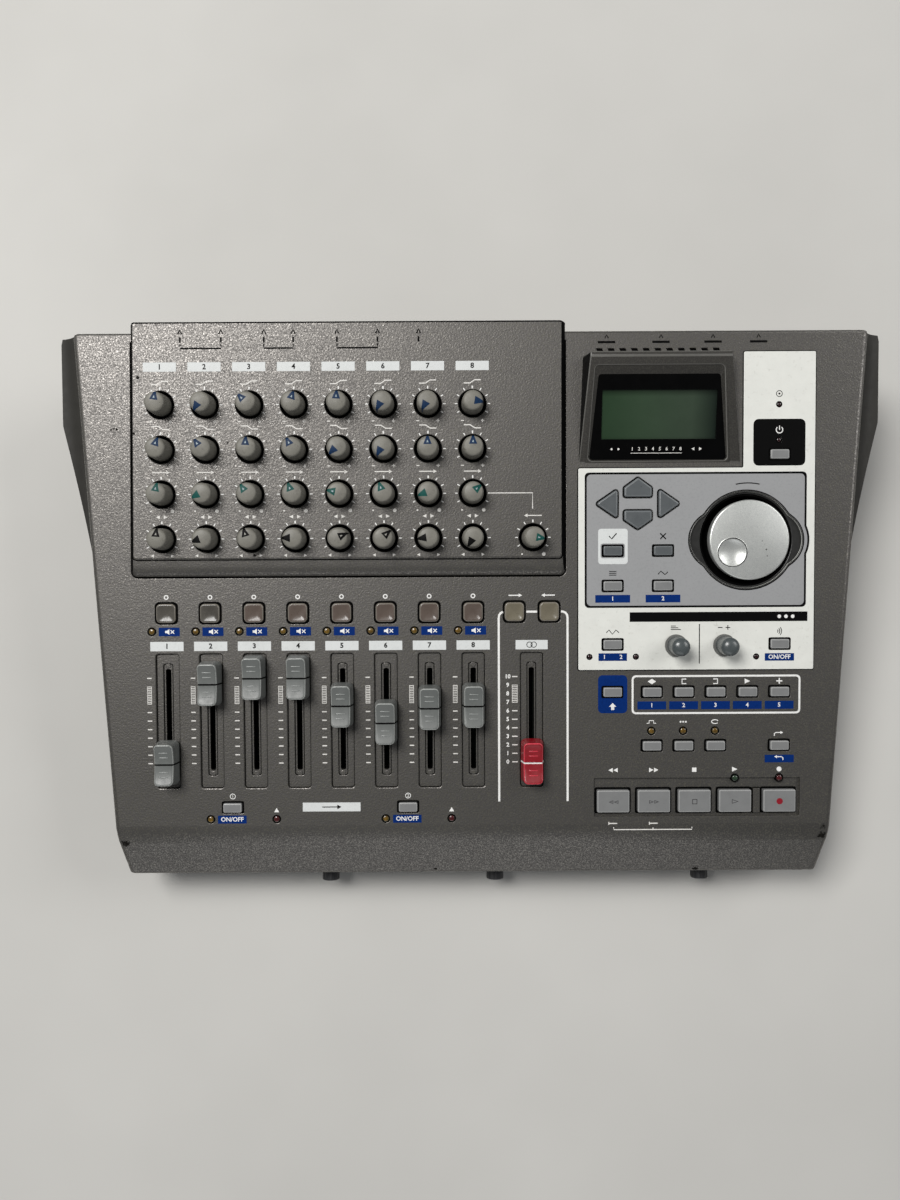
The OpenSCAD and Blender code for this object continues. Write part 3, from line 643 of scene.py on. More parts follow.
def lcd_cell():
    m = Mat("lcd_cell", rough=0.25, specular=0.3)
    sep = m.t.nodes.new("ShaderNodeSeparateXYZ")
    m.link(m.co, sep.inputs["Vector"])
    # the green brightens from the left towards the middle and falls off to near dark at the right edge: painted shadow
    # at the right
    col = m.ramp(m.span(sep.outputs["X"], 0.0, 1.0, 0.0675, 0.1261), [(0.0, rgb(43, 63, 44)), (0.35, rgb(53, 70, 53)), (0.8, rgb(58, 71, 58)), (1.0, rgb(28, 37, 31))])
    col = m.mix(col, m.ramp(m.noise(40, 3, 0.6), [(0.3, grey(0.84)), (0.7, grey(1.0))]), 1.0, "MULTIPLY")
    lo, hi = ((POD @ Vector((97.2, k, -2.3))).y for k in (12.05, 37.25))
    # painted shadow: much darker towards the top edge, under the hood's rim; also a little darker along the bottom edge
    col = m.mix(col, m.ramp(m.span(sep.outputs["Y"], 0.0, 1.0, lo, hi), [(0.0, grey(0.85)), (0.05, grey(1.0)), (0.86, grey(1.0)), (1.0, grey(0.30))]), 1.0, "MULTIPLY")
    col = m.mix(col, m.ramp(m.noise(2200, 2, 0.5), [(0.3, grey(0.93)), (0.7, grey(1.0))]), 1.0, "MULTIPLY")
    return m.done(col, m.span(m.noise(120, 3), 0.12, 0.22))


M_LCD = lcd_cell()


def board():
    m = Mat("boards", rough=0.55, specular=0.4)
    t = m.t.nodes.new("ShaderNodeTexBrick")
    t.inputs["Scale"].default_value = 90
    for key, col in (("Color1", rgb(20, 44, 30)), ("Color2", rgb(24, 40, 28)), ("Mortar", rgb(30, 56, 38))):
        t.inputs[key].default_value = col
    m.link(m.co, t.inputs["Vector"])
    col = m.mix(t.outputs["Color"], rgb(16, 16, 16), m.ramp(m.noise(120, 2), [(0.45, grey(0.0)), (0.55, grey(0.9))]))
    return m.done(col, m.span(m.noise(300, 2), 0.45, 0.65))


M_BOARD = board()

# ---------------------------------------------------------------- top case: rounded shell with a front lip
def by_mm(rules, default=0.0):
    """edge rounding from a list of (test of a point pair, width)"""
    def width(a, b):
        for test, w in rules:
            if test(a, b):
                return w
        return default
    return width


def both(test):
    return lambda a, b: test(a) and test(b)


sv = [(s * x, v, w) for x, v, w in ((206.5, 262.5, 0), (206.5, 262.5, -16), (188.6, 0, 0), (188.6, 0, -16), (185.1, -24, -10.6), (185.1, -24, -16)) for s in (1, -1)]
sf = [(0, 1, 5, 4), (4, 5, 9, 8), (8, 9, 11, 10), (10, 11, 7, 6), (6, 7, 3, 2), (2, 3, 1, 0), (0, 4, 6, 2), (1, 3, 7, 5), (4, 8, 10, 6), (5, 7, 11, 9)]
near = lambda x, k: abs(x - k) < 0.01
rules = [
    (lambda a, b: near(a.x, b.x) and near(a.y, 262.5) and near(b.y, 262.5), 3.0),
    (lambda a, b: near(a.x, b.x) and near(a.y, -24) and near(b.y, -24), 2.6),
    (lambda a, b: near(a.z, 0) and near(b.z, 0) and near(a.y, 262.5) and near(b.y, 262.5), 1.4),
    (lambda a, b: near(a.z, 0) and near(b.z, 0) and near(a.y, 0) and near(b.y, 0), 5.0),
    (lambda a, b: near(a.z, -10.6) and near(b.z, -10.6), 1.6),
    (lambda a, b: a.x * b.x > 0 and near(a.z, 0) and near(b.z, 0), 2.8),
    (lambda a, b: a.x * b.x > 0 and (near(a.z, 0) and near(b.z, -10.6) or near(b.z, 0) and near(a.z, -10.6)), 2.6),
    (lambda a, b: near(a.x, b.x) and near(a.y, 0) and near(b.y, 0), 3.0),
]
RIM0, RIM1, RIM_W = 5.7, 258.6, 3.4
field = [(-(half_at(RIM0) - RIM_W), RIM0), (half_at(RIM0) - RIM_W, RIM0), (half_at(RIM1) - RIM_W, RIM1), (-(half_at(RIM1) - RIM_W), RIM1)]
under_lip = [(6.2, -20), (-21.6, -20), (-21.6, -12.4), (-1, -3.2), (6.2, -3.2)]
shell = solid(sv, sf, by_mm(rules), 5, [slab(field, -20, 4), slab(under_lip, -181.5, 181.5, "x")])

LED_AMBER = [(chan(i) - 7.8, 107.6) for i in range(8)] + [(-138, 8.4), (-45.8, 8.4), (94, 54.1), (110.7, 54.1), (127.4, 54.1)]
LED_RED = [(-103.3, 8.4), (-11.1, 8.4), (161.3, 29)]
LED_DARK = [(61.4, 93.3), (85.7, 93.3), (148.6, 93.1), (159.7, 224.1), (159.7, 205.8)]
LED_GREEN = [(138, 29)]
LEDS = LED_AMBER + LED_RED + LED_DARK + LED_GREEN
FADER_X = [chan(i) for i in range(8)] + [MASTER_X]
TRACK_X = [chan(i) for i in range(8)] + [22.2, 40.4]

holes = [rrect(x, y, 11.6, 6.6, 0.9) for x, y in SMALL_KEYS if y < 88]
holes += [circle(x, y, 2.25, 28) for x, y in LEDS if y < 88 or x < 50]
holes += [rrect(x, TRACK_V, 12, 11.8, 2.4) for x in TRACK_X]
under_plate = [span(58.5, 176, 88.6, 189.5), span(144, 176, 193.5, 249)]
mixer_hole = span(-172, 44, 142.5, 258)
MIX_X0, MIX_X1, MIX_V0, MIX_V1, MIX_LIP = -174.5, 46.5, 136.4, 266.9, 8.3


MIX_LF, MIX_LR, MIX_LEAN, MIX_LEAN_R = -175.0, -173.6, 2.2, 2.3
D1, D2 = 1.4, 2.0


def mixer_gap(e, n=6):
    """opening round the foot of the raised block, its front corners rounded"""
    lf, lr, rt = MIX_LF - MIX_LEAN - 0.5 * e, MIX_LR - MIX_LEAN - 0.5 * e, MIX_X1 + MIX_LEAN_R + 0.5 * e
    ya, yb, r = MIX_V0 - 0.95 * e, 257.2 + 0.5 * e, 2.6 + e
    left = [(lf + r - r * cos(pi / 2 * k / n), ya + r - r * sin(pi / 2 * k / n)) for k in range(n + 1)]
    right = [(rt - r + r * sin(pi / 2 * k / n), ya + r - r * cos(pi / 2 * k / n)) for k in range(n + 1)]
    return left + right + [(rt, yb), (lr, yb)]


pod_hole = [(58, 195.4), (137.8, 195.4), (131.6, 247.8), (63.2, 247.8)]
vents = [[(66.4 + 6.05 * i, 249.5), (69.6 + 6.05 * i, 249.5), (68.0 + 6.05 * i, 253.4), (64.8 + 6.05 * i, 253.4)] for i in range(11)]
led_in_bay = [circle(138, 29, 2.25, 28), circle(161.3, 29, 2.25, 28)]
holes_top = [h for h in holes if not any(abs(h[0][1] - 29) < 3 and abs(h[0][0] - x) < 3 for x in (138, 161.3))]


def bay_with_leds():
    """bay outline whose rear edge rises in a half circle round each light"""
    p = [(63.9, 8.9), (172.2, 8.9)]
    for x in (172.2, 161.3, 138.0, 63.9):
        if x in (172.2, 63.9):
            p.append((x, 29.2))
        else:
            p += [(x + 2.25 * cos(a), 29.2 + 2.25 * sin(a)) for a in [pi * k / 12 for k in range(13)]]
    return p


trays = [rrect(x, 60.4, 12, 71, 1.5) for x in FADER_X]
grooves = [rrect(x, 61, 5, 59.4, 1.2) for x in FADER_X]
slots = [rrect(x, 61, 2.8, 53.6, 0.9) for x in FADER_X]
keys_bay = [rrect(x, TRANSPORT_V, 19.1, 13.9, 1.0) for x in TRANSPORT_X]
common = [pod_hole] + under_plate + vents
base_field = [tuple(p) for p in field]
top = Mesh()
top.add(shell)
top.add(prism([(base_field, 0.0), (mixer_gap(0.95), 0.35)] + common + holes_top + [(t, 0.5) for t in trays] + [bay_with_leds()], -D1, 0, 0.22, 2))
top.add(prism([(base_field, 0.0), mixer_hole] + common + holes_top + [(t, 0.3) for t in grooves] + keys_bay + led_in_bay, -D2, -D1, 0.18, 2))
top.add(prism([(base_field, 0.0), mixer_hole] + common + holes_top + slots + keys_bay + led_in_bay, -2.9, -D2, 0.1, 1))
top.add(prism([span(147.7, 151.2, 10.6, 23.5, 0.5)], -D1, 0.1, 0.2, 2))
for x in FADER_X:
    for v in (34.2 - 1.7, 87.8 + 1.7):
        top.add(prism([rrect(x, v, 2.6, 2.2, 0.8)], -D2, -D2 + 0.35, 0.2, 2))
piece("case_top", Mesh().add((top.v, top.f, top.s), 0, PANEL), [M_CASE], "case", ["top_case"])

# dark lining under the faders, so that no light comes up through the slots
lining = Mesh()
for x in FADER_X:
    lining.add(prism([rrect(x, 61, 8.6, 64, 0.5), rrect(x, 61, 2.4, 52.8, 0.5)], -8.6, -2.95, 0.1, 1))
# black linings inside the key, button and transport key openings: painted shade in the gaps round the caps
for p in [rrect(x, y, 11.6, 6.6, 0.9) for x, y in SMALL_KEYS if y < 88]:
    q = p if area(p) > 0 else p[::-1]
    cx, cy = sum(a for a, b in q) / len(q), sum(b for a, b in q) / len(q)
    lining.add(prism([inset(q, 0.02), rrect(cx, cy, 9.86, 5.06, 0.5)], -2.9, -0.04, 0.0, 1))
for x in TRACK_X:
    q = rrect(x, TRACK_V, 12, 11.8, 2.4)
    lining.add(prism([inset(q, 0.02), inset(q, 0.88)], -2.9, -0.04, 0.0, 1))
for x in TRANSPORT_X:
    q = rrect(x, TRANSPORT_V, 19.1, 13.9, 1.0)
    lining.add(prism([inset(q, 0.02), inset(q, 0.98)], -2.9, -D1 - 0.04, 0.0, 1))
# black floor in the gap round the mixer block: painted shade
lining.add(prism([mixer_gap(0.93), mixer_gap(-0.6)], -D1 + 0.01, -D1 + 0.3, 0.0, 1))
# painted shade: thin black strips at the foot of the recess walls
for p, d, w in [(t, 0.36, -D1) for t in trays] + [(t, 0.42, -D2) for t in grooves] + [(span(147.2, 151.7, 10.1, 24.0, 0.7), 0.5, -D1)]:
    q = p if area(p) > 0 else p[::-1]
    lining.add(prism([inset(q, 0.02), inset(q, d)], w + 0.005, w + 0.03, 0.0, 1))
# black fills inside the vent slots: painted shade
for p in vents:
    q = p if area(p) > 0 else p[::-1]
    lining.add(prism([inset(q, 0.03)], -2.8, -0.5, 0.0, 1))
piece("dark_linings_and_painted_shade", Mesh().add((lining.v, lining.f, lining.s), 0, PANEL), [M_VOID], "case", ())

# ---------------------------------------------------------------- display pod
hood = [(55.5, 194.4, -2), (139.8, 194.4, -2), (133.6, 249.4, -2), (57.4, 249.4, -2), (55.8, 194.4, 0.2), (139.8, 194.4, 0.2), (133.8, 247.9, 8), (60.7, 247.9, 8), (133.6, 250.3, 8), (60.9, 250.3, 8)]
hood_f = [(0, 3, 2, 1), (4, 5, 6, 7), (7, 6, 8, 9), (0, 1, 5, 4), (2, 3, 9, 8), (1, 2, 8, 6, 5), (3, 0, 4, 7, 9)]
frame_rim = [(60.6, 1.0), (133.0, 1.0), (129.3, 49.4), (63.4, 49.4)]
frame_low = [(61.4, 1.5), (132.7, 1.5), (127.9, 45.0), (65.4, 45.0)]
to_panel = PANEL.inverted() @ POD
ring_out = inset(frame_rim, -1.3)
hood_cut = slab(inset(frame_rim, -1.28), -9, 3)
pod_rules = [(lambda a, b: a.z > 0.1 and b.z > 0.1, 0.6), (lambda a, b: a.z > 0.1 or b.z > 0.1, 1.2)]
pod = solid(hood, hood_f, by_mm(pod_rules), 3, [(moved(hood_cut, to_panel)[0], hood_cut[1])])
side = []
for f_, soft_ in zip(pod[1], pod[2]):
    q = [Vector(pod[0][i]) for i in f_]
    n_ = (q[1] - q[0]).cross(q[2] - q[0])
    c_ = sum(q, Vector()) / len(q)
    n_ = n_.normalized() if n_.length > 0 else n_
    dark_ = abs(n_.x) > 0.75 and (c_.x < 61.5 or c_.x > 133.2)
    # rounded faces that face up take the third material, a lighter painted highlight along the hood's edges; flat faces
    # at the far left and right take the near-black material
    side.append(1 if dark_ else 2 if soft_ and n_.z > 0.3 and n_.x < 0.2 else 0)


def funnel(outer, levels):
    """a frame whose opening narrows through the given (outline, height) levels, from its flat top to its underside; its
    first two bands, the rounded rim, take the third material, a lighter painted highlight
    """
    n, m = len(levels[0][0]), len(outer)
    v, f, s = [], [], []
    for p, w in levels:
        v += [(x, y, w) for x, y in p]
    o = len(v)
    w0, w1 = levels[0][1], levels[-1][1]
    v += [(x, y, w0) for x, y in outer] + [(x, y, w1) for x, y in outer]
    for q in range(len(levels) - 1):
        for i in range(n):
            j = (i + 1) % n
            f.append((q * n + j, q * n + i, (q + 1) * n + i, (q + 1) * n + j))
            s.append(q < len(levels) - 2)
    for t in fill([outer, levels[0][0]]):
        f.append(tuple(o + i if i < m else i - m for i in t))
        s.append(False)
    last = (len(levels) - 1) * n
    for t in fill([outer, levels[-1][0]]):
        f.append(tuple(o + m + i if i < m else last + i - m for i in t)[::-1])
        s.append(False)
    for i in range(m):
        j = (i + 1) % m
        f.append((o + m + i, o + m + j, o + j, o + i))
        s.append(False)
    return v, f, s, [2 if i < 2 * n else 0 for i in range(len(f))]


rim_line = soften(frame_rim, 2.2, 6)
ring_levels = [(inset(rim_line, -0.42), 0.0), (inset(rim_line, -0.12), -0.12), (rim_line, -0.4), (soften(frame_low, 1.6, 6), -1.5)]
hd = Mesh().add((pod[0], pod[1], pod[2], side), 0, PANEL)
hd.add(funnel(ring_out, ring_levels), 0, POD)
piece("display_hood", hd, [M_POD, M_HOODSIDE, M_HOOD_HIGHLIGHT], "case", ())
win = Mesh()
win.add(prism([inset(frame_rim, -0.6), rrect(97.2, 24.65, 59.4, 25.2, 0.3)], -2.3, -1.52, 0.12, 2), 0, POD)
win.add(prism([rrect(97.2, 24.65, 60.8, 26.4, 0.3)], -3.3, -2.32, 0.1, 1), 1, POD)
for k in range(8):
    win.add(letters(str(k + 1), 2.5, 83.8 + 3.58 * k, 7.0, (-1.53, -1.49), 0.035), 2, POD)
for u in (73.0, 76.6):
    win.add(prism([circle(u, 7.0, 0.55, 16)], -1.53, -1.49, 0.0, 1), 2, POD)
for u, d in ((115.4, -1), (119.2, 1)):
    win.add(prism([[(u - 0.7 * d, 7.9), (u + 0.8 * d, 7.0), (u - 0.7 * d, 6.1)]], -1.53, -1.49, 0.0, 1), 2, POD)
win.add(prism([span(83.0, 109.6, 4.75, 5.05)], -1.53, -1.49, 0.0, 1), 2, POD)
piece("display_glass", win, [M_WINDOW, M_LCD, M_TICK], "case", ["display_window"])

# ---------------------------------------------------------------- raised mixer block
x0, x1, v0, v1, h, lp = MIX_X0, MIX_X1, MIX_V0, MIX_V1, MIX_W, MIX_LIP
front = [(v0 + 0.1, 0.02), (v0, 0.6), (v0 + 0.45, 1.35), (v0 + 1.4, 2.05), (v0 + 2.9, 2.65), (v0 + 5.2, 3.05), (v0 + 8.3, 3.25), (v0 + 8.8, 4.65), (v0 + 9.1, 4.92), (v0 + 9.7, h)]
mfield = span(x0 + 3.6, x1 - 2.6, v0 + lp + 2.7, v1 - 2.6)


def mixer_wall():
    """outer wall of the block as a sweep: rolled front, leaning dark sides and rear, rounded corners"""
    def ring(level):
        # one outline per level, with front corners that follow the roll
        fv, w = front[level]
        ins = 0.0 if w < 4.4 else (0.12 if w < 4.8 else 0.3 if w < 4.95 else 0.6)
        low_ = max(0.0, 1 - w / 4.6)
        r = max(1.0, 2.6 - 0.15 * level)
        lf, lr, xb = MIX_LF - MIX_LEAN * low_ + ins, MIX_LR - MIX_LEAN * low_ + ins, x1 + MIX_LEAN_R * low_ - ins
        ya, yb = fv, v1 - 1.7 * ins
        n = 6
        p = [(lf + r - r * cos(pi / 2 * k / n), ya + r - r * sin(pi / 2 * k / n)) for k in range(n + 1)]
        p += [(xb - r + r * sin(pi / 2 * k / n), ya + r - r * cos(pi / 2 * k / n)) for k in range(n + 1)]
        q = 0.6
        p += [(xb - q + q * cos(pi / 2 * k / n), yb - q + q * sin(pi / 2 * k / n)) for k in range(n + 1)]
        p += [(lr + q - q * sin(pi / 2 * k / n), yb - q + q * cos(pi / 2 * k / n)) for k in range(n + 1)]
        return [(x, y, w) for x, y in p]
    rings = [ring(k) for k in range(len(front))]
    n = len(rings[0])
    v = [p for r in rings for p in r]
    f = [(q * n + i, q * n + (i + 1) % n, (q + 1) * n + (i + 1) % n, (q + 1) * n + i) for q in range(len(rings) - 1) for i in range(n)]
    sm = [True] * len(f)
    # the leaning sides and rear are black; the steep front step (level 6) is black too, as painted shade
    dark = [1 if (i >= 14 and i < 27) or (i in (13, 27, 0) and front[q + 1][1] < 4.7) or (q == 6 and i < 14) else 0 for q in range(len(rings) - 1) for i in range(n)]
    # flat top out to the field, then the inner walls and the underside
    last = (len(rings) - 1) * n
    topring = [(x, y) for x, y, _ in rings[-1]]
    o = len(v)
    v += [(x, y, h) for x, y in mfield] + [(x, y, h - 2.4) for x, y in mfield]
    for t in fill([topring, mfield]):
        f.append(tuple(last + i if i < n else o + i - n for i in t))
        sm.append(False)
    for i in range(4):
        a, b = o + i, o + (i + 1) % 4
        f.append((b, a, a + 4, b + 4))
        sm.append(False)
    bottom = [(x, y) for x, y, _ in rings[0]]
    for t in fill([bottom, mfield]):
        f.append(tuple(i if i < n else o + 4 + i - n for i in t)[::-1])
        sm.append(False)
    return v, f, sm, dark + [0] * (len(f) - len(dark))


mixer_ring = mixer_wall()
knobs_at = [(chan(i), ROW0 + PITCH * j) for j in range(4) for i in range(8)] + [(RETURN_X, ROW0)]
mixer = Mesh().add(mixer_ring)
mixer.add(prism([(mfield, 0.0)] + [(circle(x, y, 7.2, 48), 0.3) for x, y in knobs_at], h - 2.5, h, 0.3, 2))
piece("mixer_top", Mesh().add((mixer.v, mixer.f, mixer.s, mixer.m), 0, PANEL), [M_MIXER, M_VOID], "case", ["mixer_panel"])
# dark tubes under the knob holes, painted shade in the gaps round the knobs
tubes = Mesh()
for x, y in knobs_at:
    tubes.add(prism([circle(x, y, 7.18, 48), circle(x, y, 6.95, 48)], -0.8, h - 0.1, 0.0, 1))
    tubes.add(prism([circle(x, y, 6.94, 48), circle(x, y, 4.6, 40)], -0.8, -0.2, 0.0, 1))
piece("knob_wells", Mesh().add((tubes.v, tubes.f, tubes.s), 0, PANEL), [M_VOID], "case", ())

# ---------------------------------------------------------------- white control plate
plate_out = soften([(55.6, 86.4), (178.6, 86.4), (178.6, 251.4), (141.4, 251.4), (141.4, 191.6), (55.6, 191.6)], 0.8, 3)
key_open = [rrect(x, y, 11.6, 6.6, 0.9) for x, y in SMALL_KEYS if y > 88]


def cursor_open(e):
    out = []
    for p in cursor_shapes(0.945):
        p = p if area(p) > 0 else p[::-1]
        out.append(soften(inset(p, -e), 1.0 + e, 5))
    return out


plate_holes = key_open + cursor_open(0.55) + [circle(x, y, 1.6, 28) for x, y in LED_DARK] + [well()] + [circle(x, ENCODER_V, 4.6, 40) for x in ENCODER_X]
cp = Mesh().add(prism([(plate_out, 0.25)] + [(p, 0.12) for p in plate_holes], 0, 0.6, 0.12, 2))
piece("control_plate_white", Mesh().add((cp.v, cp.f, cp.s), 0, PANEL), [M_WHITE], "case", ["control_plate"])
# dark sheet under the plate behind the openings, painted shade seen through them
backing = Mesh().add(prism([span(58.6, 175.9, 88.7, 189.4)] + [rrect(x, y, 11.6, 6.6, 0.9) for x, y in SMALL_KEYS if 88 < y < 189] + cursor_shapes(1.12) + [circle(x, y, 2.25, 28) for x, y in LED_DARK if y < 189] + [circle(WELL[0], WELL[1], 24.4, 72)] + [circle(x, ENCODER_V, 4.6, 40) for x in ENCODER_X], -2.5, -1.45, 0.0, 1))
piece("plate_backing", Mesh().add((backing.v, backing.f, backing.s), 0, PANEL), [M_BLACK], "case", ())

# ---------------------------------------------------------------- dial, its bezel and cup
bz = Mesh()
# raised rim in the third material, lighter than the rest of the bezel: a painted highlight along its edge
bz.add(prism([(well(0.72), 0.3), (well(0.05), 0.3)], -1.3, 1.1, 0.3, 3), 2)
bz.add(prism([(well(0.0), 0.0), (circle(WELL[0], WELL[1], 24.0, 96), 0.3)], -1.35, -0.2, 0.2, 2), 0)
# black cup under the dial, painted shade in the moat round it
bz.add(prism([(circle(WELL[0], WELL[1], 23.95, 96), 0.0), (circle(WELL[0], WELL[1], 22.9, 96), 0.2)], -9.5, -1.0, 0.2, 2), 1)
bz.add(prism([(circle(WELL[0], WELL[1], 22.85, 72), 0.0), (circle(WELL[0], WELL[1], 5.2, 40), 0.0)], -9.5, -8.0, 0.0, 1), 1)
piece("dial_bezel", Mesh().add((bz.v, bz.f, bz.s, bz.m), 0, PANEL), [M_BEZEL, M_VOID, M_RIM_HIGHLIGHT], "case", ())


def dial_mesh():
    d = Mesh()
    n, R, topw, crown = 128, 20.7, 4.2, 1.3
    rim_r = R - 0.9
    prof = [(7.0, -6.4), (7.0, -1.0), (20.2, -1.0), (R - 0.1, -0.6)] + arc(rim_r, topw - 0.9, 0.9, 0, 84, 7)
    d.add(lathe(prof, n, (1,)))
    d.add(prism([circle(0, 0, 6.95, 64), circle(0, 0, 3.1, 48)], -6.5, -1.05, 0.0, 1))
    edge_r, edge_w = prof[-1]

    def skin(x, y):
        return edge_w + crown * (1 - (x * x + y * y) / (edge_r * edge_r))

    # crowned top with a finger dimple
    dx, dy, rd = -9.0, -6.5, 7.05
    ring = circle(0, 0, edge_r, n)
    hole = circle(dx, dy, rd + 0.85, 72)
    extra = [p for r, m in ((4, 14), (8, 26), (12, 38), (15.5, 50), (18, 60)) for p in circle(0, 0, r, m) if (p[0] - dx) ** 2 + (p[1] - dy) ** 2 > (rd + 1.5) ** 2]
    pts = ring + hole + extra
    f = fill([ring, hole], extra)
    d.add(([(x, y, skin(x, y)) for x, y in pts], f, [True] * len(f)))
    # raised thin lip round the bowl, then the bowl; the lip's inner slope takes the dark third material, painted shade
    rows = [(rd + 0.85, 0.0), (rd + 0.7, 0.12), (rd + 0.52, 0.13), (rd + 0.4, 0.0), (rd + 0.06, -0.12), (rd, -0.12)]
    depth = 2.0
    big = (rd * rd + depth * depth) / (2 * depth)
    amax = atan2(rd, big - depth)
    m = 72
    v, f, base = [], [], skin(dx, dy)
    for r, up in rows:
        v += [(dx + r * cos(2 * pi * k / m), dy + r * sin(2 * pi * k / m), skin(dx + r * cos(2 * pi * k / m), dy + r * sin(2 * pi * k / m)) + up) for k in range(m)]
    for k in range(1, 13):
        a = amax * (1 - k / 13)
        r, z = big * sin(a), base - 0.12 - (big * cos(a) - (big - depth))
        fade = r / rd
        v += [(dx + r * cos(2 * pi * q / m), dy + r * sin(2 * pi * q / m), z + fade * (skin(dx + r * cos(2 * pi * q / m), dy + r * sin(2 * pi * q / m)) - base)) for q in range(m)]
    v.append((dx, dy, base - 0.12 - depth))
    levels = len(rows) + 12
    for q in range(levels - 1):
        for k in range(m):
            f.append((q * m + k, q * m + (k + 1) % m, (q + 1) * m + (k + 1) % m, (q + 1) * m + k))
    for k in range(m):
        f.append(((levels - 1) * m + k, (levels - 1) * m + (k + 1) % m, len(v) - 1))
    d.add((v, f, [True] * len(f), [2 if 2 * m <= i < 4 * m else 0 for i in range(len(f))]))
    d.add(lathe([(0, -16.5), (3.0, -16.5), (3.0, -6.6), (0, -6.6)], 40, (0, 2)), 1)
    return d


dm = dial_mesh()
piece("data_dial_wheel", Mesh().add((dm.v, dm.f, dm.s, dm.m), 0, at(DIAL[0], DIAL[1], 0)), [M_DIAL, M_STEEL, M_DIMPLE_SHADE], "data_dial", ["data_dial"], 40)

# ---------------------------------------------------------------- small encoder knobs
for name, x in (("encoder_type", ENCODER_X[0]), ("encoder_value", ENCODER_X[1])):
    e = Mesh()
    e.add(lathe([(4.7, 1.0), (5.7, 1.0), (5.8, 1.1), (5.8, 1.95), (5.65, 2.15), (5.0, 2.2), (4.7, 2.2)], 56, (0,)), 2)
    prof = [(3.1, 1.0), (4.68, 1.0), (4.75, 2.2), (4.75, 11.0)]
    prof += [(4.75 * cos(radians(a)), 11.4 + 3.0 * sin(radians(a))) for a in range(6, 90, 7)] + [(0, 14.4)]
    e.add(lathe(prof, 56, (0,)))
    e.add(lathe([(0, -8), (3.0, -8), (3.0, 1.0), (0, 1.0)], 36, (0, 2)), 1)
    piece(name + "_cap", Mesh().add((e.v, e.f, e.s, e.m), 0, at(x, ENCODER_V, 0)), [M_ENC, M_STEEL, M_FLANGE], name, [name], 30)

# ---------------------------------------------------------------- rotary knobs
def knob_mesh(hollow):
    """soft cap: rounded side, shallow crown, painted triangle that runs over the edge"""
    k = Mesh()
    seg = 64
    prof = [(3.1, 3.6), (3.1, -4.0), (5.5, -4.0), (5.6, -3.9), (5.6, 0.6), (5.58, 1.2), (5.48, 3.4), (5.37, 6.0), (5.24, 8.0)]
    prof += [(5.2 - 1.6 + 1.6 * cos(radians(a)), 8.75 + 1.7 * sin(radians(a))) for a in range(8, 81, 12)]
    edge_r, edge_w = prof[-1]
    prof += [(edge_r * (1 - t), edge_w + (10.9 - edge_w) * (1 - (1 - t) ** 2)) for t in (0.25, 0.5, 0.75)] + [(0, 10.9)]
    k.add(lathe(prof, seg, (0, 1)))
    k.add(lathe([(0, -15.3), (3.0, -15.3), (3.0, 3.5), (0, 3.5)], 32, (0, 2)), 3)

    def skin(x, y):
        """height of the cap's top skin over a point"""
        r = sqrt(x * x + y * y)
        p = prof[4:]
        for (ra, wa), (rb, wb) in zip(p, p[1:]):
            if rb <= r <= ra:
                return wb if ra - rb < 1e-9 else wb + (wa - wb) * (r - rb) / (ra - rb)
        return prof[4][1]

    def patch(half, y0, y1, up, mat, rows=14, tip=0.12):
        v, f = [], []
        for i in range(rows + 1):
            t = i / rows
            y = y0 + (y1 - y0) * t
            wd = half * (1 - t) + tip * t
            for j in (-1, -0.5, 0, 0.5, 1):
                x = j * wd
                v.append((x, y, skin(x, y) + up))
        for i in range(rows):
            for j in range(4):
                a = i * 5 + j
                f.append((a, a + 1, a + 6, a + 5))
        o = len(v)
        v += [(x, y, z - up - 0.15) for x, y, z in v]
        f += [tuple(o + q for q in t[::-1]) for t in list(f)]
        rim = [j for j in range(5)] + [i * 5 + 4 for i in range(1, rows + 1)] + [rows * 5 + j for j in (3, 2, 1, 0)] + [i * 5 for i in range(rows - 1, 0, -1)]
        f += [(a, o + a, o + b, b) for a, b in zip(rim, rim[1:] + rim[:1])]
        k.add((v, f, [False] * len(f)), mat)

    def stripe(rows, mat):
        """the mark's narrow end, over the edge and down the side"""
        p = prof[4:]
        v, f = [], []
        for i in range(rows + 1):
            t = i / rows
            w = 9.9 - 7.2 * t
            r = min(ra + (rb - ra) * (w - wa) / (wb - wa) for (ra, wa), (rb, wb) in zip(p, p[1:]) if wa <= w <= wb)
            wd = (0.55 - 0.3 * t) / r
            v += [((r + 0.035) * sin(j * wd), (r + 0.035) * cos(j * wd), w + 0.02) for j in (-1, 0, 1)]
        for i in range(rows):
            f += [(a, a + 1, a + 4, a + 3) for a in (i * 3, i * 3 + 1)]
        o = len(v)
        v += [(x * 0.96, y * 0.96, z - 0.1) for x, y, z in v]
        f += [tuple(o + q for q in t[::-1]) for t in list(f)]
        rim = [0, 1, 2] + [i * 3 + 2 for i in range(1, rows + 1)] + [rows * 3 + 1, rows * 3] + [i * 3 for i in range(rows - 1, 0, -1)]
        f += [(a, o + a, o + b, b) for a, b in zip(rim, rim[1:] + rim[:1])]
        k.add((v, f, [False] * len(f)), mat)

    patch(2.1, 0.9, 5.3, 0.035, 1, 18, 0.45)
    stripe(18, 1)
    # a pale patch in the mark's hollow: a painted highlight
    if hollow:
        patch(0.5, 1.75, 2.9, 0.06, 2, 6)
    return k


def knob(name, x, y, angle, ink_mat, hollow):
    k = knob_mesh(hollow)
    place = at(x, y, MIX_W) @ Matrix.Rotation(radians(-angle), 4, "Z")
    piece(name + "_cap", Mesh().add((k.v, k.f, k.s, k.m), 0, place), [M_KNOB, ink_mat, M_GREY_HIGHLIGHT if ink_mat is M_PBLACK else M_PALE_HIGHLIGHT, M_STEEL], name, [name], 40)


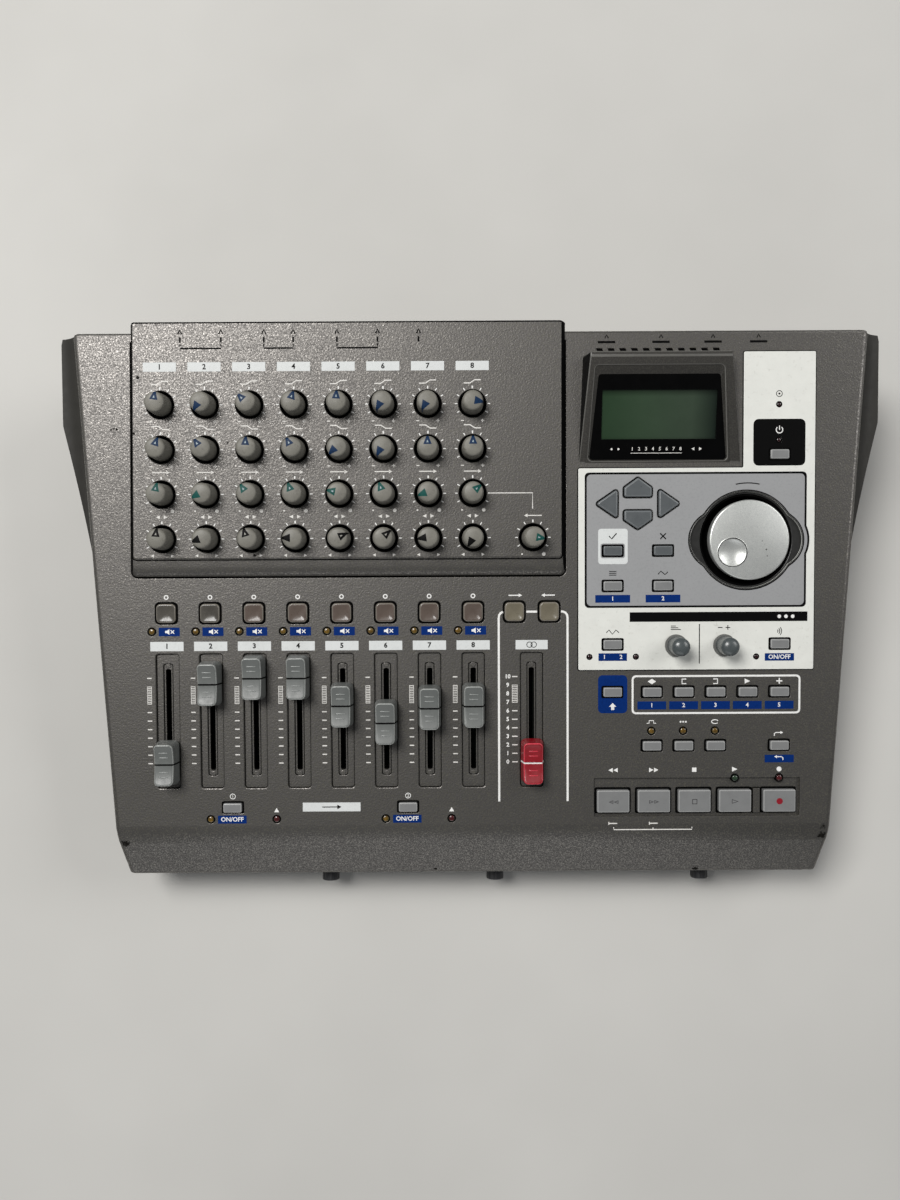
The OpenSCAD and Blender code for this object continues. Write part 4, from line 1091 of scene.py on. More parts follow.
# marks turned less than 85 degrees from straight back get the pale painted highlight in their hollow
for j, (row, mat) in enumerate((("pan", M_PBLACK), ("send", M_TEAL), ("eq_low", M_PBLUE), ("eq_high", M_PBLUE))):
    for i in range(8):
        knob("knob_%s_%d" % (row, i + 1), chan(i), ROW0 + PITCH * j, REST[row][i], mat, abs(REST[row][i]) < 85)
knob("effect_return_knob", RETURN_X, ROW0, 100, M_TEAL, True)

# ---------------------------------------------------------------- fader caps
def fader_mesh():
    """soft cap with a hollow top, rounded corners and a line across the middle"""
    k = Mesh()
    hu, hv, r, rt, bu, bv = 4.95, 10.7, 2.3, 0.9, 5.85, 11.55

    def top(v):
        return 37.5 - sqrt(29.0 ** 2 - v * v) - (0.4 if abs(v) < 0.45 else 0.0)

    def edge(u, v):
        qx, qy = abs(u) - (hu - r), abs(v) - (hv - r)
        return r - (sqrt(max(qx, 0) ** 2 + max(qy, 0) ** 2) + min(max(qx, qy), 0))

    def half(v):
        a = abs(v) - (hv - r)
        return hu if a <= 0 else hu - r + sqrt(max(0.0, r * r - a * a))

    def drop_at(d):
        return 0.0 if d >= rt else rt - sqrt(max(0.0, rt * rt - (rt - d) ** 2))

    vs = [hv - r + r * sin(radians(t)) for t in (90, 80, 70, 60, 50, 40, 28, 14, 0)] + [7.2, 6.0, 4.8, 3.6, 2.4, 1.3, 0.75, 0.5, 0.4]
    vs = [-v for v in vs] + vs[::-1]
    cs = [1.0, 0.985, 0.955, 0.91, 0.86, 0.78, 0.6, 0.3]
    cs = [-c for c in cs] + [0.0] + cs[::-1]
    nc, nr = len(cs), len(vs)
    v, f, m = [], [], []
    for y in vs:
        for c in cs:
            u = c * half(y)
            v.append((u, y, top(y) - drop_at(edge(u, y))))
    for i in range(nr - 1):
        black = abs(vs[i]) < 0.45 and abs(vs[i + 1]) < 0.45
        for j in range(nc - 1):
            a = i * nc + j
            f.append((a, a + 1, a + nc + 1, a + nc))
            ym, cm = (vs[i] + vs[i + 1]) / 2, (cs[j] + cs[j + 1]) / 2
            # cells close to the top face's edge take material 4, a lighter painted highlight
            m.append(1 if black else 4 if edge(cm * half(ym), ym) < 0.46 else 0)
    loop = [j for j in range(nc)] + [i * nc + nc - 1 for i in range(1, nr)] + [(nr - 1) * nc + j for j in range(nc - 2, -1, -1)] + [i * nc for i in range(nr - 2, 0, -1)]
    prev = loop
    for t in (0.2, 0.45, 0.75, 1.0, 1.25):
        ring = []
        for i in loop:
            x, y, z = v[i]
            g = min(1.0, t) ** 1.35
            ring.append(len(v))
            v.append((x * (1 + (bu / hu - 1) * g), y * (1 + (bv / hv - 1) * g), z + (2.4 - z) * t if t <= 1 else 0.8))
        for q in range(len(loop)):
            q2 = (q + 1) % len(loop)
            f.append((ring[q], ring[q2], prev[q2], prev[q]))
            m.append(1 if abs(v[loop[q]][1]) < 0.45 and abs(v[loop[q2]][1]) < 0.45 else 0)
        prev = ring
    f.append(tuple(prev[::-1]))
    m.append(0)
    k.add((v, f, [True] * len(f), m))
    # raised ribs in material 3, lighter than the cap: a painted highlight on them
    for y in (3.8, 6.3, -3.8, -6.3):
        w = top(y)
        rib = solid([(s * 2.35, y + t * 0.3, w - 0.5 if z == 0 else w + 0.24) for z in (0, 1) for t in (-1, 1) for s in (-1, 1)],
                    [(0, 1, 3, 2), (4, 6, 7, 5), (0, 4, 5, 1), (2, 3, 7, 6), (0, 2, 6, 4), (1, 5, 7, 3)], lambda a, b: 0.16, 2)
        k.add(rib, 3)
    k.add(prism([rrect(0, 0, 1.4, 5)], -12.4, 0.78, 0.0, 1), 2)
    return k


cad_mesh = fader_mesh()
for i, x in enumerate(FADER_X):
    body = "channel_%d_fader" % (i + 1) if i < 8 else "channel_master_fader"
    mats = [M_FADER, M_BLACKINK, M_STEEL, M_RIB_HIGHLIGHT, M_FADER_HIGHLIGHT] if i < 8 else [M_FADER_RED, M_WHITEINK, M_STEEL, M_RIB_HIGHLIGHT_RED, M_FADER_HIGHLIGHT_RED]
    piece(body + "_cap", Mesh().add((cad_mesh.v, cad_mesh.f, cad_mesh.s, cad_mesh.m), 0, at(x, FADER_V0 + REST_FADER[i], 0)), mats, body, [body], 34)

# ---------------------------------------------------------------- keys
def dished(w, d, r, w0, w1, dish, lip=0.9, rings=7):
    """rounded square cap with a hollow top; the middle bands of its rounded lip take the material four places on, a
    lighter painted highlight
    """
    base = rrect(0, 0, w, d, r, 5)
    n = len(base)
    levels = [(0.0, w0)] + [(lip * (1 - cos(a)), w1 - lip + lip * sin(a)) for a in (0, pi / 8, pi / 4, 3 * pi / 8, pi / 2)]
    v, f, s = [], [], []
    for ins, z in levels:
        v += [(x, y, z) for x, y in (inset(base, ins) if ins > 0 else base)]
    inner = inset(base, lip)
    a, b, cx, cy = w / 2 - lip, d / 2 - lip, 1.5, -0.9

    def hollow(x, y):
        """depth of the finger hollow, deepest a little right of and below the middle"""
        p = (x - cx) / (a - cx if x > cx else a + cx)
        q = (y - cy) / (b - cy if y > cy else b + cy)
        return dish * max(0.0, 1 - p * p) * max(0.0, 1 - q * q)

    for k in range(1, rings + 1):
        t = 1 - k / rings
        if k == rings:
            v.append((0, 0, w1 - hollow(0, 0)))
        else:
            v += [(x * t, y * t, w1 - hollow(x * t, y * t)) for x, y in inner]
    total = len(levels) + rings - 1
    for q in range(total - 1):
        for i in range(n):
            f.append((q * n + i, q * n + (i + 1) % n, (q + 1) * n + (i + 1) % n, (q + 1) * n + i))
            s.append(q > 0)
    last = (total - 1) * n
    for i in range(n):
        f.append((last + i, last + (i + 1) % n, len(v) - 1))
        s.append(True)
    f.append(tuple(range(n))[::-1])
    s.append(False)
    return v, f, s, [4 if 2 * n <= i < 4 * n else 0 for i in range(len(f))]


buttons = Mesh()
for i, x in enumerate(TRACK_X):
    buttons.add(dished(10.2, 10.0, 2.3, -3.0, 1.4, 0.75, 0.9, 10), 3 if i > 7 else 1 if i > 1 else 0, Matrix.Translation((x, TRACK_V, 0)))
    buttons.add(prism([rrect(x, TRACK_V, 13.6, 13.4, 1.4)], -4, -3.02, 0.2, 1), 2)
piece("track_button_caps", Mesh().add((buttons.v, buttons.f, buttons.s, buttons.m), 0, PANEL), [M_BUTTON, M_BUTTON_RED, M_BLACK, M_BUTTON_OLIVE] + [M_BUTTON_HIGHLIGHT] * 4, "track_buttons", ["track_buttons"], 30)

def keycap(loop, bevel, w0, w1, edge, seg=3):
    """a key whose rounded edges carry the material that comes edge places after its own, a lighter one that stands as a
    painted highlight
    """
    v, f, s = prism([(loop, bevel)], w0, w1, bevel, seg)
    m = len(loop)
    return v, f, s, [edge if m <= i < m * (seg + 1) else 0 for i in range(len(f))]


keys = Mesh()
for i, (x, y) in enumerate(SMALL_KEYS):
    keys.add(keycap(rrect(x, y, 9.7, 4.9, 0.8), 0.6, -3, 1.6, 3), 1 if i in SLATE_KEYS else 0)
    keys.add(prism([rrect(x, y, 13.1, 7.7, 0.8)], -4, -3.02, 0.2, 1), 2)
for p in cursor_shapes(0.945):
    keys.add(keycap(soften(p, 1.0, 5), 0.9, -3, 1.9, 3, 4), 1)
for p in cursor_shapes(0.9):
    keys.add(prism([p], -4, -3.02, 0.1, 1), 2)
piece("function_key_caps", Mesh().add((keys.v, keys.f, keys.s, keys.m), 0, PANEL), [M_KEY, M_SLATE, M_BLACK, M_KEY_HIGHLIGHT, M_SLATE_HIGHLIGHT], "function_keys", ["function_keys"], 35)


def thin(shape_loops, w, mat, mesh, up=0.04, place=None):
    mesh.add(prism([(p, 0.0) for p in shape_loops], w - 0.01, w + up, 0.0, 1), mat, place)


def ring_of(p, d):
    """an outline with a line of width d inside it"""
    p = p if area(p) > 0 else p[::-1]
    return [p, inset(p, d)]


tk = Mesh()
for i, x in enumerate(TRANSPORT_X):
    tk.add(keycap(rrect(x, TRANSPORT_V, 17.0, 11.8, 0.8), 0.6, -3, 1.3, 4), 0)
    tk.add(prism([rrect(x, TRANSPORT_V, 19.6, 15.6, 1)], -4, -3.02, 0.2, 1), 1)


def tri(x, y, w, hgt):
    return [(x - w / 2, y - hgt / 2), (x + w / 2, y), (x - w / 2, y + hgt / 2)]


yv = TRANSPORT_V - 0.2
for dx in (-1.35, 1.35):
    p = [(2 * TRANSPORT_X[0] - a, b) for a, b in tri(TRANSPORT_X[0] + dx, yv, 2.5, 1.9)]
    thin(ring_of(p, 0.32), 1.3, 2, tk, 0.03)
    thin(ring_of(tri(TRANSPORT_X[1] + dx, yv, 2.5, 1.9), 0.32), 1.3, 2, tk, 0.03)
thin(ring_of(rrect(TRANSPORT_X[2], yv, 2.7, 2.7), 0.38), 1.3, 2, tk, 0.03)
thin(ring_of(tri(TRANSPORT_X[3], yv, 3.6, 2.4), 0.34), 1.3, 2, tk, 0.03)
thin([circle(TRANSPORT_X[4], yv, 1.65, 32)], 1.3, 3, tk, 0.03)
piece("transport_key_caps", Mesh().add((tk.v, tk.f, tk.s, tk.m), 0, PANEL), [M_KEY, M_BLACK, M_SYMBOL, M_RED, M_KEY_HIGHLIGHT], "transport_keys", ["transport_keys"], 35)

# ---------------------------------------------------------------- light emitters
leds = Mesh()
dome = [(1.62, -1.2), (1.62, -0.1)] + [(1.62 * cos(radians(a)), -0.1 + 0.55 * sin(radians(a))) for a in range(15, 90, 15)] + [(0, 0.45)]
dome = [(0, -1.2)] + dome
for group, k in ((LED_AMBER, 0), (LED_RED, 1), (LED_DARK, 2), (LED_GREEN, 3)):
    for x, y in group:
        on_plate = y > 88 and x > 50
        size = Matrix.Diagonal((0.68, 0.68, 0.8, 1.0)) if on_plate else Matrix.Identity(4)
        leds.add(lathe(dome, 24, (0,)), k, Matrix.Translation((x, y, 0.45 if on_plate else 0.0)) @ size)
for x, y in LEDS:
    on_plate = y > 88 and x > 50
    w, ro, ri = (0.6, 1.57, 1.13) if on_plate else (0.0, 2.2, 1.66)
    leds.add(prism([(circle(x, y, ro, 28), 0.1), (circle(x, y, ri, 24), 0.05)], w - 0.68, w + 0.1, 0.1, 2), 4)
piece("indicator_lenses", Mesh().add((leds.v, leds.f, leds.s, leds.m), 0, PANEL), [M_AMBER, M_LEDRED, M_DARKRED, M_GREEN, M_VOID], "case", (), 35)

# ---------------------------------------------------------------- printed marks
P_WHITE, P_STRIP, P_BLUE, P_BLACK, P_DARK, P_TICK, P_GREY, P_RED = range(8)
INKS = [M_WHITEINK, M_STRIP, M_BLUEINK, M_BLACKINK, M_DARKINK, M_TICK, M_GREYPANEL, M_RED]
pr = Mesh()


def bar(x0, x1, y0, y1, mat, w=0.0, up=0.04, r=0.0):
    thin([span(x0, x1, y0, y1, r)], w, mat, pr, up)


def line(x0, y0, x1, y1, width, mat, w=0.0, up=0.04):
    a, b = Vector((x0, y0)), Vector((x1, y1))
    d = (b - a).normalized()
    n = Vector((-d.y, d.x)) * width / 2
    thin([[tuple(a - n), tuple(b - n), tuple(b + n), tuple(a + n)]], w, mat, pr, up)


def digits(text, size, x, y, mat, w=0.0, up=0.04, bold=0.0):
    pr.add(letters(text, size, x, y, (w - 0.01, w + up), bold), mat)


def path(points, width, mat, w=0.0, up=0.04):
    """a line of constant width along points"""
    left, right = [], []
    for i, p in enumerate(points):
        a = Vector(points[max(0, i - 1)])
        b = Vector(points[min(len(points) - 1, i + 1)])
        d = (b - a).normalized()
        n = Vector((-d.y, d.x)) * width / 2
        left.append(tuple(Vector(p) + n))
        right.append(tuple(Vector(p) - n))
    thin([right + left[::-1]], w, mat, pr, up)


W5 = MIX_W
for i in range(8):
    x = chan(i)
    bar(x - 8.5, x + 8.5, 241.5, 246.2, P_STRIP, W5)
    digits(str(i + 1), 3.8, x, 243.8, P_DARK, W5 + 0.04, 0.03, 0.1)
for n_, (x, y) in enumerate(knobs_at):
    row = n_ // 8
    for a in range(-120, 121, 30):
        c, s = sin(radians(a)), cos(radians(a))
        line(x + 7.75 * c, y + 7.75 * s, x + 9.15 * c, y + 9.15 * s, 0.52 if a else 0.7, P_WHITE, W5)
    if row in (2, 3):
        # shelf curves over the tone controls
        hi = row == 3
        yy = y + 11.3
        pts = [(x - 4.4, yy - 0.8), (x - 1.2, yy - 0.8), (x + 1.2, yy + 0.8), (x + 4.4, yy + 0.8)]
        if not hi:
            pts = [(x - 4.4, yy + 0.8), (x - 1.2, yy + 0.8), (x + 1.2, yy - 0.8), (x + 4.4, yy - 0.8)]
        path(pts, 0.55, P_TICK, W5)
        for sx in (-1, 1):
            xx, ym = x + sx * 5.2, y - 8.6
            line(xx - 0.8, ym, xx + 0.8, ym, 0.5, P_TICK, W5)
            if sx > 0:
                line(xx, ym - 0.8, xx, ym + 0.8, 0.5, P_TICK, W5)
    elif row in (1, 4):
        yy = y + 11.3
        for d in (-1, 1):
            if row == 1:
                line(x - 4.6, yy, x + 3.0, yy, 0.5, P_TICK, W5)
                thin([tri(x + 3.6, yy, 1.8, 1.9)], W5, P_TICK, pr)
            else:
                line(x + 4.6, yy, x - 3.0, yy, 0.5, P_TICK, W5)
                thin([[(2 * (x - 3.6) - a, b) for a, b in tri(x - 3.6, yy, 1.8, 1.9)]], W5, P_TICK, pr)
            break
        for sx, rr_ in ((-1, 0.45), (1, 0.95)):
            thin([circle(x + sx * 5.6, y - 8.6, rr_, 16)], W5, P_TICK, pr)
    else:
        yy = y + 11.3
        for sx in (-1, 1):
            thin([[(x + sx * 1.0, yy - 0.95), (x + sx * 3.0, yy), (x + sx * 1.0, yy + 0.95)]], W5, P_TICK, pr)
            thin([[(x + sx * 4.4, y - 9.4), (x + sx * 6.0, y - 8.6), (x + sx * 4.4, y - 7.8)]], W5, P_TICK, pr)
path([(9.6, 178.7), (31.4, 178.7), (31.4, 170.6)], 0.5, P_TICK, W5)
# arrow marks over the rear sockets
for x in (-149, -128, -106, -91, -68.6, -47.8, -26.8):
    for up_, wd in ((262.0, 1.5),):
        path([(x - 1.0, up_ - 1.6), (x, up_ + 0.6), (x + 1.0, up_ - 1.6)], 0.8, P_BLACK, W5)
    line(x, 258.9, x, 256.2, 0.95, P_BLACK, W5)
for xa, xb in ((-149, -128), (-106, -91), (-68.6, -47.8)):
    path([(xa, 255.4), (xa, 253.2), (xb, 253.2), (xb, 255.4)], 0.85, P_BLACK, W5)
for x in (70.3, 98.5, 125.4, 149.0):
    path([(x - 0.9, 258.6), (x, 260.3), (x + 0.9, 258.6)], 0.6, P_BLACK)
    line(x - 4.5, 256.6, x + 4.5, 256.6, 1.2, P_BLACK)

# track row
for i in range(8):
    x = chan(i)
    thin([circle(x, 125.6, 1.25, 24), circle(x, 125.6, 0.7, 24)], 0, P_WHITE, pr)
    bar(x - 4.2, x + 6.8, 105.3, 109.8, P_BLUE)
    # a crossed loudspeaker on the blue patch
    cx_, cy_ = x + 1.2, 107.55
    thin([[(cx_ - 2.0, cy_ - 0.6), (cx_ - 1.1, cy_ - 0.6), (cx_ + 0.2, cy_ - 1.5), (cx_ + 0.2, cy_ + 1.5), (cx_ - 1.1, cy_ + 0.6), (cx_ - 2.0, cy_ + 0.6)]], 0.04, P_WHITE, pr, 0.03)
    line(cx_ + 0.9, cy_ - 0.9, cx_ + 2.7, cy_ + 0.9, 0.45, P_WHITE, 0.04, 0.03)
    line(cx_ + 0.9, cy_ + 0.9, cx_ + 2.7, cy_ - 0.9, 0.45, P_WHITE, 0.04, 0.035)
    bar(x - 8.7, x + 8.7, 97.45, 102.35, P_STRIP)
    digits(str(i + 1), 3.7, x, 99.9, P_DARK, 0.04, 0.03, 0.12)
bar(MASTER_X - 8.4, MASTER_X + 8.4, 97.45, 102.35, P_STRIP)
for dx in (-1.1, 1.1):
    thin([circle(MASTER_X + dx, 99.9, 1.6, 28), circle(MASTER_X + dx, 99.9, 1.25, 28)], 0.04, P_DARK, pr, 0.03 + 0.005 * (dx > 0))
for i, x in enumerate(FADER_X):
    xs, hw = (x - 9.5, 1.2) if i < 8 else (x - 8.9, 1.45)
    for k in range(11):
        if k in (7, 8, 9):
            continue
        bar(xs - hw, xs + hw, 38.2 + 4.5 * k - 0.3, 38.2 + 4.5 * k + 0.3, P_TICK)
    # hatched working range
    for k in range(11):
        y = 69.7 + 9.0 * k / 10
        bar(xs - hw, xs + hw, y - 0.19, y + 0.19, P_TICK)
    for sx in (-1, 1):
        bar(xs + sx * (hw - 0.12) - 0.12, xs + sx * (hw - 0.12) + 0.12, 69.5, 78.9, P_TICK, 0, 0.035)
for k in range(11):
    digits(str(k), 3.0, 18.6, 38.2 + 4.5 * k, P_WHITE, 0, 0.04, 0.1)
# frame round the master fader
path([(14.0, 17.2), (14.0, 114.0), (14.25, 115.5), (15.0, 116.5), (16.2, 117.2)], 1.1, P_WHITE)
path([(50.0, 17.2), (50.0, 114.0), (49.75, 115.5), (49.0, 116.5), (47.6, 117.2), (46.6, 117.2)], 1.1, P_WHITE)
bar(28.5, 34.1, 116.65, 117.75, P_WHITE)
for x, d in ((22.2, 1), (40.4, -1)):
    line(x - 3, 125.8, x + 3, 125.8, 0.6, P_WHITE)
    thin([tri(x + 3.2, 125.8, 1.8, 1.9) if d > 0 else [(2 * (x - 3.2) - a, b) for a, b in tri(x - 3.2, 125.8, 1.8, 1.9)]], 0, P_WHITE, pr, 0.045)
# assign keys
for x, n_ in ((-126.3, "1"), (-34.0, "2")):
    thin([circle(x, 20.6, 1.5, 28), circle(x, 20.6, 1.15, 28)], 0, P_WHITE, pr)
    digits(n_, 2.3, x, 20.6, P_WHITE, 0, 0.04)
for xa, xb in ((-134.3, -119.2), (-42.0, -27.0)):
    bar(xa, xb, 6.2, 10.4, P_BLUE)
    digits("ON/OFF", 3.3, (xa + xb) / 2, 8.3, P_WHITE, 0.04, 0.03, 0.06)
for x in (-103.3, -11.1):
    thin([[(x - 1.3, 12.1), (x + 1.3, 12.1), (x, 14.4)]], 0, P_WHITE, pr)
bar(-89.5, -59.1, 12.4, 17.1, P_STRIP)
path([(-79.3, 14.75), (-71.0, 14.75)], 0.5, P_DARK, 0.04, 0.03)
thin([tri(-70.2, 14.75, 2.2, 2.3)], 0.04, P_DARK, pr, 0.035)

# control plate
PW = 0.6


def sub_outline(e):
    """rounded panel with a bulge round the right ear of the dial well"""
    x0_, x1_, y0_, y1_ = 58.9 + e, 174.3 - e, 119.0 + e, 189.4 - e
    r = 2.2
    p = [(x0_ + r * (1 - cos(a)), y0_ + r * (1 - sin(a))) for a in [pi / 2 * k / 5 for k in range(6)]]
    p = [(x0_, y0_ + r)] + [(x0_ + r - r * cos(a), y0_ + r - r * sin(a)) for a in [pi / 2 * k / 5 for k in range(1, 6)]]
    p += [(x1_ - r + r * sin(a), y0_ + r - r * cos(a)) for a in [pi / 2 * k / 5 for k in range(6)]]
    ex, er = DIAL[0] + 14.8, 14.5 + 3.0 - e
    hb = sqrt(max(0.0, er * er - (x1_ - ex) ** 2))
    a0 = atan2(hb, x1_ - ex)
    p += [(ex + er * cos(t), DIAL[1] + er * sin(t)) for t in [-a0 + 2 * a0 * k / 14 for k in range(15)]]
    p += [(x1_ - r + r * cos(a), y1_ - r + r * sin(a)) for a in [pi / 2 * k / 5 for k in range(6)]]
    p += [(x0_ + r - r * sin(a), y1_ - r + r * cos(a)) for a in [pi / 2 * k / 5 for k in range(6)]]
    return p


cut_sub = [rrect(x, y, 11.7, 6.7, 0.95) for x, y in SMALL_KEYS if 119 < y < 189] + cursor_open(0.6) + [well(0.78)]
thin([sub_outline(0.0), sub_outline(1.05)], PW, P_BLACK, pr, 0.05)
thin([sub_outline(1.0)] + cut_sub, PW, P_GREY, pr, 0.03)
thin([well(1.3), well(0.76)], PW + 0.03, P_BLACK, pr, 0.03)
for p, q in zip(cursor_open(0.82), cursor_open(0.62)):
    thin([p, q], PW + 0.03, P_BLACK, pr, 0.02)
# black rings filling the gaps round the keys on the plate, painted shade
edging = Mesh()
for x, y in SMALL_KEYS:
    if y > 88:
        edging.add(prism([rrect(x, y, 11.58, 6.58, 0.89), rrect(x, y, 9.86, 5.06, 0.5)], -1.4, PW + 0.05, 0.0, 1))
for p, q in zip(cursor_open(0.54), cursor_open(0.08)):
    edging.add(prism([p, q], -1.4, PW + 0.05, 0.0, 1))
# a black line round the plate's outline, painted shadow
edging.add(prism([inset(plate_out, -0.5), inset(plate_out, -0.02)], 0.005, 0.07, 0.0, 1))
piece("key_and_plate_painted_shade", Mesh().add((edging.v, edging.f, edging.s), 0, PANEL), [M_VOID], "case", ())
thin([span(65.9, 81.3, 141.8, 160.2, 1.5), rrect(73.5, 148.7, 12.7, 7.7, 1.2)], PW + 0.03, P_STRIP, pr, 0.02)
# symbols beside the cursor and yes/no keys
for a, b in ((73.5, 156.2),):
    path([(a - 1.9, b + 0.2), (a - 0.6, b - 1.3), (a + 2.0, b + 1.6)], 0.6, P_BLACK, PW + 0.05, 0.03)
line(99.7 - 1.5, 156.2 - 1.5, 99.7 + 1.5, 156.2 + 1.5, 0.6, P_BLACK, PW + 0.03)
line(99.7 - 1.5, 156.2 + 1.5, 99.7 + 1.5, 156.2 - 1.5, 0.6, P_BLACK, PW + 0.03, 0.045)
for k in (-1, 0, 1):
    line(73.5 - 1.9, 137.0 + 0.95 * k, 73.5 + 1.9, 137.0 + 0.95 * k, 0.4, P_BLACK, PW + 0.03)
path([(97.2, 136.4), (98.6, 138.0), (100.8, 136.2), (102.2, 137.6)], 0.5, P_BLACK, PW + 0.03)
for xa, xb in ((64.4, 82.6), (90.7, 108.8)):
    bar(xa, xb, 121.7, 125.7, P_BLUE, PW + 0.03, 0.03)
for k, xa in enumerate((73.5, 99.75)):
    digits(("1", "2")[k], 3.0, xa, 123.7, P_WHITE, PW + 0.06, 0.02, 0.06)
arrow = [(DIAL[0] + 29.6 * cos(a), DIAL[1] + 29.6 * sin(a)) for a in [radians(102 - 4 * k) for k in range(7)]]
path(arrow, 0.55, P_BLACK, PW + 0.03)
bar(82.4, 175.2, 111.6, 116.6, P_BLACK, PW, 0.04)
for k, x in enumerate((160.5, 164.0, 167.5)):
    thin([circle(x, 114.1, 0.95, 20)], PW + 0.04, P_WHITE, pr, 0.03)
bar(118.6, 119.1, 89.6, 110.3, P_DARK, PW, 0.03)
for k in (-1, 0, 1):
    line(ENCODER_X[0] - 2.6, 108.4 + 0.9 * k, ENCODER_X[0] + 2.6 - 1.3 * (k + 1), 108.4 + 0.9 * k, 0.4, P_DARK, PW)
line(ENCODER_X[1] - 3.2, 108.4, ENCODER_X[1] - 0.8, 108.4, 0.45, P_DARK, PW)
line(ENCODER_X[1] + 0.8, 108.4, ENCODER_X[1] + 3.2, 108.4, 0.45, P_DARK, PW)
line(ENCODER_X[1] + 2.0, 107.2, ENCODER_X[1] + 2.0, 109.6, 0.45, P_DARK, PW, 0.045)
path([(70.2, 106.0), (71.6, 107.4), (73.4, 105.2), (75.2, 107.4), (76.8, 106.0)], 0.45, P_BLACK, PW)
for k in range(3):
    aa = [(158.6 + 0.2 + (1.1 + 0.95 * k) * cos(t), 106.4 + (1.1 + 0.95 * k) * sin(t)) for t in [radians(-42 + 14 * q) for q in range(7)]]
    path(aa, 0.4, P_BLACK, PW)
bar(66.1, 81.0, 91.2, 95.2, P_BLUE, PW)
digits("1", 3.0, 69.2, 93.2, P_WHITE, PW + 0.04, 0.03, 0.06)
digits("2", 3.0, 77.9, 93.2, P_WHITE, PW + 0.04, 0.03, 0.06)
bar(153.1, 168.4, 90.9, 94.8, P_BLUE, PW)
digits("ON/OFF", 3.2, 160.75, 92.85, P_WHITE, PW + 0.04, 0.03, 0.06)
# standby block
thin([span(146.4, 173.4, 192.5, 216.6, 2.7), rrect(160.1, 198.4, 11.6, 6.6, 0.9), circle(159.7, 205.8, 1.62, 24)], PW, P_BLACK, pr, 0.04)
pw = [(159.9 + 1.7 * sin(a), 211.0 + 1.7 * cos(a)) for a in [radians(40 + 280 * k / 16) for k in range(17)]]
path(pw, 0.5, P_WHITE, PW + 0.04, 0.03)
line(159.9, 210.9, 159.9, 213.1, 0.5, P_WHITE, PW + 0.04, 0.03)
thin([circle(159.7, 229.6, 1.7, 28), circle(159.7, 229.6, 1.35, 28)], PW, P_BLACK, pr, 0.04)
thin([circle(159.7, 229.6, 0.5, 16)], PW, P_BLACK, pr, 0.04)

# lower right keys
thin([span(66.0, 81.3, 63.6, 83.6, 2.3), rrect(73.5, 74.8, 11.6, 6.6, 0.9)], 0, P_BLUE, pr)
thin([[(73.65 - 1.9, 67.0), (73.65 - 0.8, 67.0), (73.65 - 0.8, 65.3), (73.65 + 0.8, 65.3), (73.65 + 0.8, 67.0), (73.65 + 1.9, 67.0), (73.65, 69.0)]], 0.04, P_WHITE, pr, 0.03)
thin([span(83.6, 172.1, 63.0, 83.5, 2.2), span(84.6, 171.1, 64.0, 82.5, 1.4)], 0, P_WHITE, pr)
for k in range(5):
    x = 94.2 + 16.7 * k
    bar(x - 7.55, x + 7.55, 65.5, 69.7, P_BLUE)
    digits(str(k + 1), 3.0, x, 67.6, P_WHITE, 0.04, 0.03, 0.06)
marks = [[(-2.2, 0), (0, 1.4), (2.2, 0), (0, -1.4)]]
x = 94.2
thin([[(x + a, 80.2 + b) for a, b in marks[0]]], 0, P_WHITE, pr)
path([(112.2, 81.4), (110.0, 81.4), (110.0, 79.0), (112.2, 79.0)], 0.6, P_WHITE)
path([(126.4, 81.4), (128.6, 81.4), (128.6, 79.0), (126.4, 79.0)], 0.6, P_WHITE)
thin([tri(144.3, 80.2, 2.9, 2.7)], 0, P_WHITE, pr)
line(159.4, 80.2, 162.6, 80.2, 0.65, P_WHITE)
line(161.0, 78.7, 161.0, 81.7, 0.65, P_WHITE, 0, 0.045)
for x, k in ((94.0, 0), (110.7, 1), (127.4, 2)):
    if k == 0:
        path([(x - 2.4, 58.2), (x - 1.2, 58.2), (x - 1.2, 59.6), (x + 1.2, 59.6), (x + 1.2, 58.2), (x + 2.4, 58.2)], 0.45, P_WHITE)
    elif k == 1:
        for q in (-1.4, 0, 1.4):
            thin([circle(x + q, 58.9, 0.5, 14)], 0, P_WHITE, pr)
    else:
        path([(x + 1.8 * cos(t), 58.9 + 1.0 * sin(t)) for t in [radians(30 + 290 * q / 18) for q in range(19)]], 0.45, P_WHITE)
bar(153.6, 168.9, 37.2, 41.2, P_BLUE)
path([(163.2, 38.4), (163.2, 39.6), (162.4, 40.2), (159.8, 40.2)], 0.5, P_WHITE, 0.04, 0.03)
thin([[(160.0, 39.4), (160.0, 41.0), (158.6, 40.2)]], 0.04, P_WHITE, pr, 0.035)
path([(158.6, 51.2), (158.6, 52.4), (159.4, 53.0), (162.0, 53.0)], 0.5, P_WHITE)
thin([[(161.8, 52.2), (161.8, 53.8), (163.2, 53.0)]], 0, P_WHITE, pr, 0.045)
